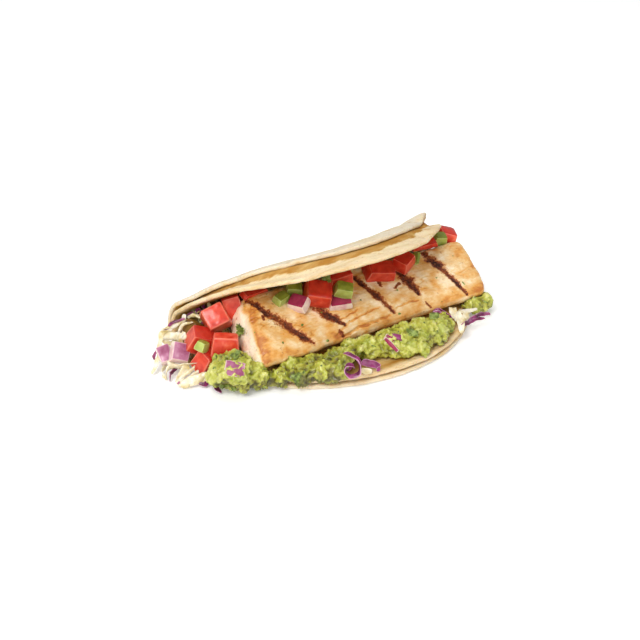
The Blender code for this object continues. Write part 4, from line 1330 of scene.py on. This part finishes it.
# Colours of the leaf, colour of its cut rims and how strong that is.
LEAF = {
    # Painted shade: dark olive brown for the heap's core, which lies in shadow between the loose shreds.
    "dressed_cabbage": ([(0.34, "#7b5f24"), (0.5, "#ab8d45"), (0.66, "#cdb67c")], "#c3b176", 0.5),
    # Olive to cream, deep in the heap.
    "green_cabbage": ([(0.34, "#a39a46"), (0.5, "#cdc07f"), (0.64, "#e3d8ac")], "#ded6a4", 0.5),
    # Nearly white ribs.
    "white_cabbage": ([(0.34, "#c9b67c"), (0.5, "#e4d8b8"), (0.66, "#f1ead8")], "#e9e0bf", 0.5),
    # Purple with pale pink rims.
    "red_cabbage": ([(0.35, "#571838"), (0.5, "#7e2a5c"), (0.65, "#96366f")], "#cb96b6", 0.85),
}
# Colours, how far red, green and blue light travels, its depth, roughness, the colour of the painted edge
# highlight and grain.
FLESH = {
    # Juicy red, paler in patches, with a painted highlight along the edges.
    "tomato_flesh": (
        [(0.30, "#b72b18"), (0.48, "#cf3c25"), (0.62, "#da5036"), (0.76, "#e57c5e")],
        (1.0, 0.25, 0.12), 2.0, 0.30, "#e88c70",
    ),
    # Taut, deeper red and shinier.
    "tomato_skin": ([(0.3, "#a8231a"), (0.7, "#c93724")], (1.0, 0.15, 0.1), 1.2, 0.2),
    # Translucent, from pink to cream.
    "onion_flesh": (
        [(0.3, "#d9a8ae"), (0.5, "#e6cbc0"), (0.7, "#ecdccb")], (1.0, 0.7, 0.8), 1.6, 0.28, "#f0e2d2"
    ),
    # The outermost leaf of the onion, deep magenta.
    "onion_skin_magenta": ([(0.3, "#84203f"), (0.7, "#a63557")], (1.0, 0.2, 0.5), 1.0, 0.25),
    # The next leaf, mottled lilac.
    "onion_skin_lilac": (
        [(0.3, "#8e4262"), (0.5, "#aa6685"), (0.7, "#c691a6")],
        (1.0, 0.6, 0.9), 1.2, 0.28, "#e0c2c1", 0.7,
    ),
    # Watery yellow green.
    "pepper_flesh": ([(0.3, "#8f9a3c"), (0.7, "#b3bf68")], (0.8, 1.0, 0.2), 1.6, 0.3, "#cbd28c"),
    # Smooth olive green.
    "pepper_skin": ([(0.3, "#6d7622"), (0.7, "#8d9736")], (0.8, 1.0, 0.2), 1.0, 0.22),
    # Olive brown: the pepper darkened as painted shade, for the dice deep in the fold.
    "pepper_browned": ([(0.3, "#6b4718"), (0.7, "#94702a")], (1.0, 0.7, 0.2), 1.2, 0.3),
}


def add_tortillas():
    """Both sheets on the frame."""
    dough = {name: griddled_masa(name, *colours) for name, colours in DOUGH.items()}
    sheets = [
        ("outer", outer_face, 3, False, outer_toast_and_gap_shade),
        ("inner", inner_face, 7, True, inner_toast_and_gap_shade),
    ]
    made = []
    for side, *shape in sheets:
        made.append(make_tortilla(f"{side}_tortilla", *shape, dough[f"griddled_masa_{side}"]))
        settle(made[-1], "maize_tortilla", f"tortilla_{side}")
    return made


def add_cabbage(covers, leaf):
    """The heap and the shreds laid one by one."""
    pale, purple = leaf["white_cabbage"], leaf["red_cabbage"]
    shreds = shred_tree()
    for piece in make_salad(covers, leaf["dressed_cabbage"], leaf["green_cabbage"], purple, shreds):
        settle(piece, "shredded_cabbage", "cabbage_salad")
    bundles = [
        ("shreds_left_pale", LEFT_PALE_SHREDS, pale, "cabbage_salad"),
        ("shreds_left_purple", LEFT_PURPLE_SHREDS, purple, "cabbage_salad"),
        ("shreds_front_purple", FRONT_PURPLE_SHREDS, purple, "cabbage_front"),
        ("shreds_front_pale", FRONT_PALE_SHREDS, pale, "cabbage_front"),
        ("shreds_right_purple", RIGHT_PURPLE_SHREDS, purple, "cabbage_right"),
        ("shreds_right_pale", RIGHT_PALE_SHREDS, pale, "cabbage_right"),
    ]
    for name, strands, material, node in bundles:
        settle(make_shreds(name, strands, shreds, material), "shredded_cabbage", node)


def add_dice(flesh):
    """All the dice; where one differs from its kind, its number has a look of its own."""
    tomato, onion, shaded_pepper = flesh["tomato_flesh"], flesh["onion_flesh"], flesh["pepper_browned"]
    cut_through, magenta = (tomato, tomato), (onion, flesh["onion_skin_magenta"])
    looks, others = (tomato, flesh["tomato_skin"]), {1: cut_through, 4: cut_through}
    make_dice_set("tomato", TOMATOES, 0.16, "tomato_flesh", looks, others)
    looks, others = (onion, flesh["onion_skin_lilac"]), {1: magenta, 2: magenta}
    make_dice_set("onion", ONIONS, 0.14, "red_onion", looks, others)
    # Pepper 7 lies deep in the fold and wears the pepper colour darkened as painted shade.
    looks, others = (flesh["pepper_flesh"], flesh["pepper_skin"]), {7: (shaded_pepper, shaded_pepper)}
    make_dice_set("pepper", PEPPERS, 0.18, "green_pepper", looks, others)


def add_toppings(fillet, mash, flesh, purple):
    """Slivers and bits, herb leaves and specks, and burnt crumbs."""
    # Thin, matt and darker on its folds.
    stops = [(0.35, "#4b561c"), (0.5, "#6d7d32"), (0.68, "#94a452")]
    herb = dry_bit("chopped_herb", 1.4, 3.0, stops, Roughness=0.45, IOR=1.4)
    # Crust charred on the bars: dry, near black, brown where it broke.
    stops = [(0.4, "#35140a"), (0.6, "#7d431f")]
    burnt = dry_bit("burnt_crumb", 0.8, 2.0, stops, Roughness=0.7)
    looks = {
        "red_onion": (flesh["onion_flesh"], flesh["onion_skin_magenta"]),
        "green_pepper": (flesh["pepper_flesh"], herb),
        "shredded_cabbage": (purple, purple),
    }
    for name, slot, piece in BITS:
        settle(make_dice(name, piece, BIT_TAPER, BIT_SEED, *looks[slot]), slot)
    settle(make_leaves("herb_leaves", LEAVES, herb), "green_pepper")
    on_fillet, on_mash, crumbs = make_crumbs(fillet, mash, herb, burnt)
    settle(on_fillet, "green_pepper")
    settle(on_mash, "green_pepper")
    settle(crumbs, "grilled_white_flesh")


def main():
    covers = add_tortillas()
    fillet = make_fillet(grilled_flesh())
    settle(fillet, "grilled_white_flesh", "grilled_fillet")
    mash = make_guacamole(mashed_avocado())
    settle(mash, "mashed_avocado", "guacamole", "guacamole_right")
    leaf = {name: cabbage_leaf(name, *look) for name, look in LEAF.items()}
    add_cabbage(covers, leaf)
    flesh = {name: wet_flesh(name, *look) for name, look in FLESH.items()}
    add_dice(flesh)
    add_toppings(fillet, mash, flesh, leaf["red_cabbage"])
    make_stage()
    make_camera()


main()
bpy.context.scene.view_settings.view_transform = "Standard"
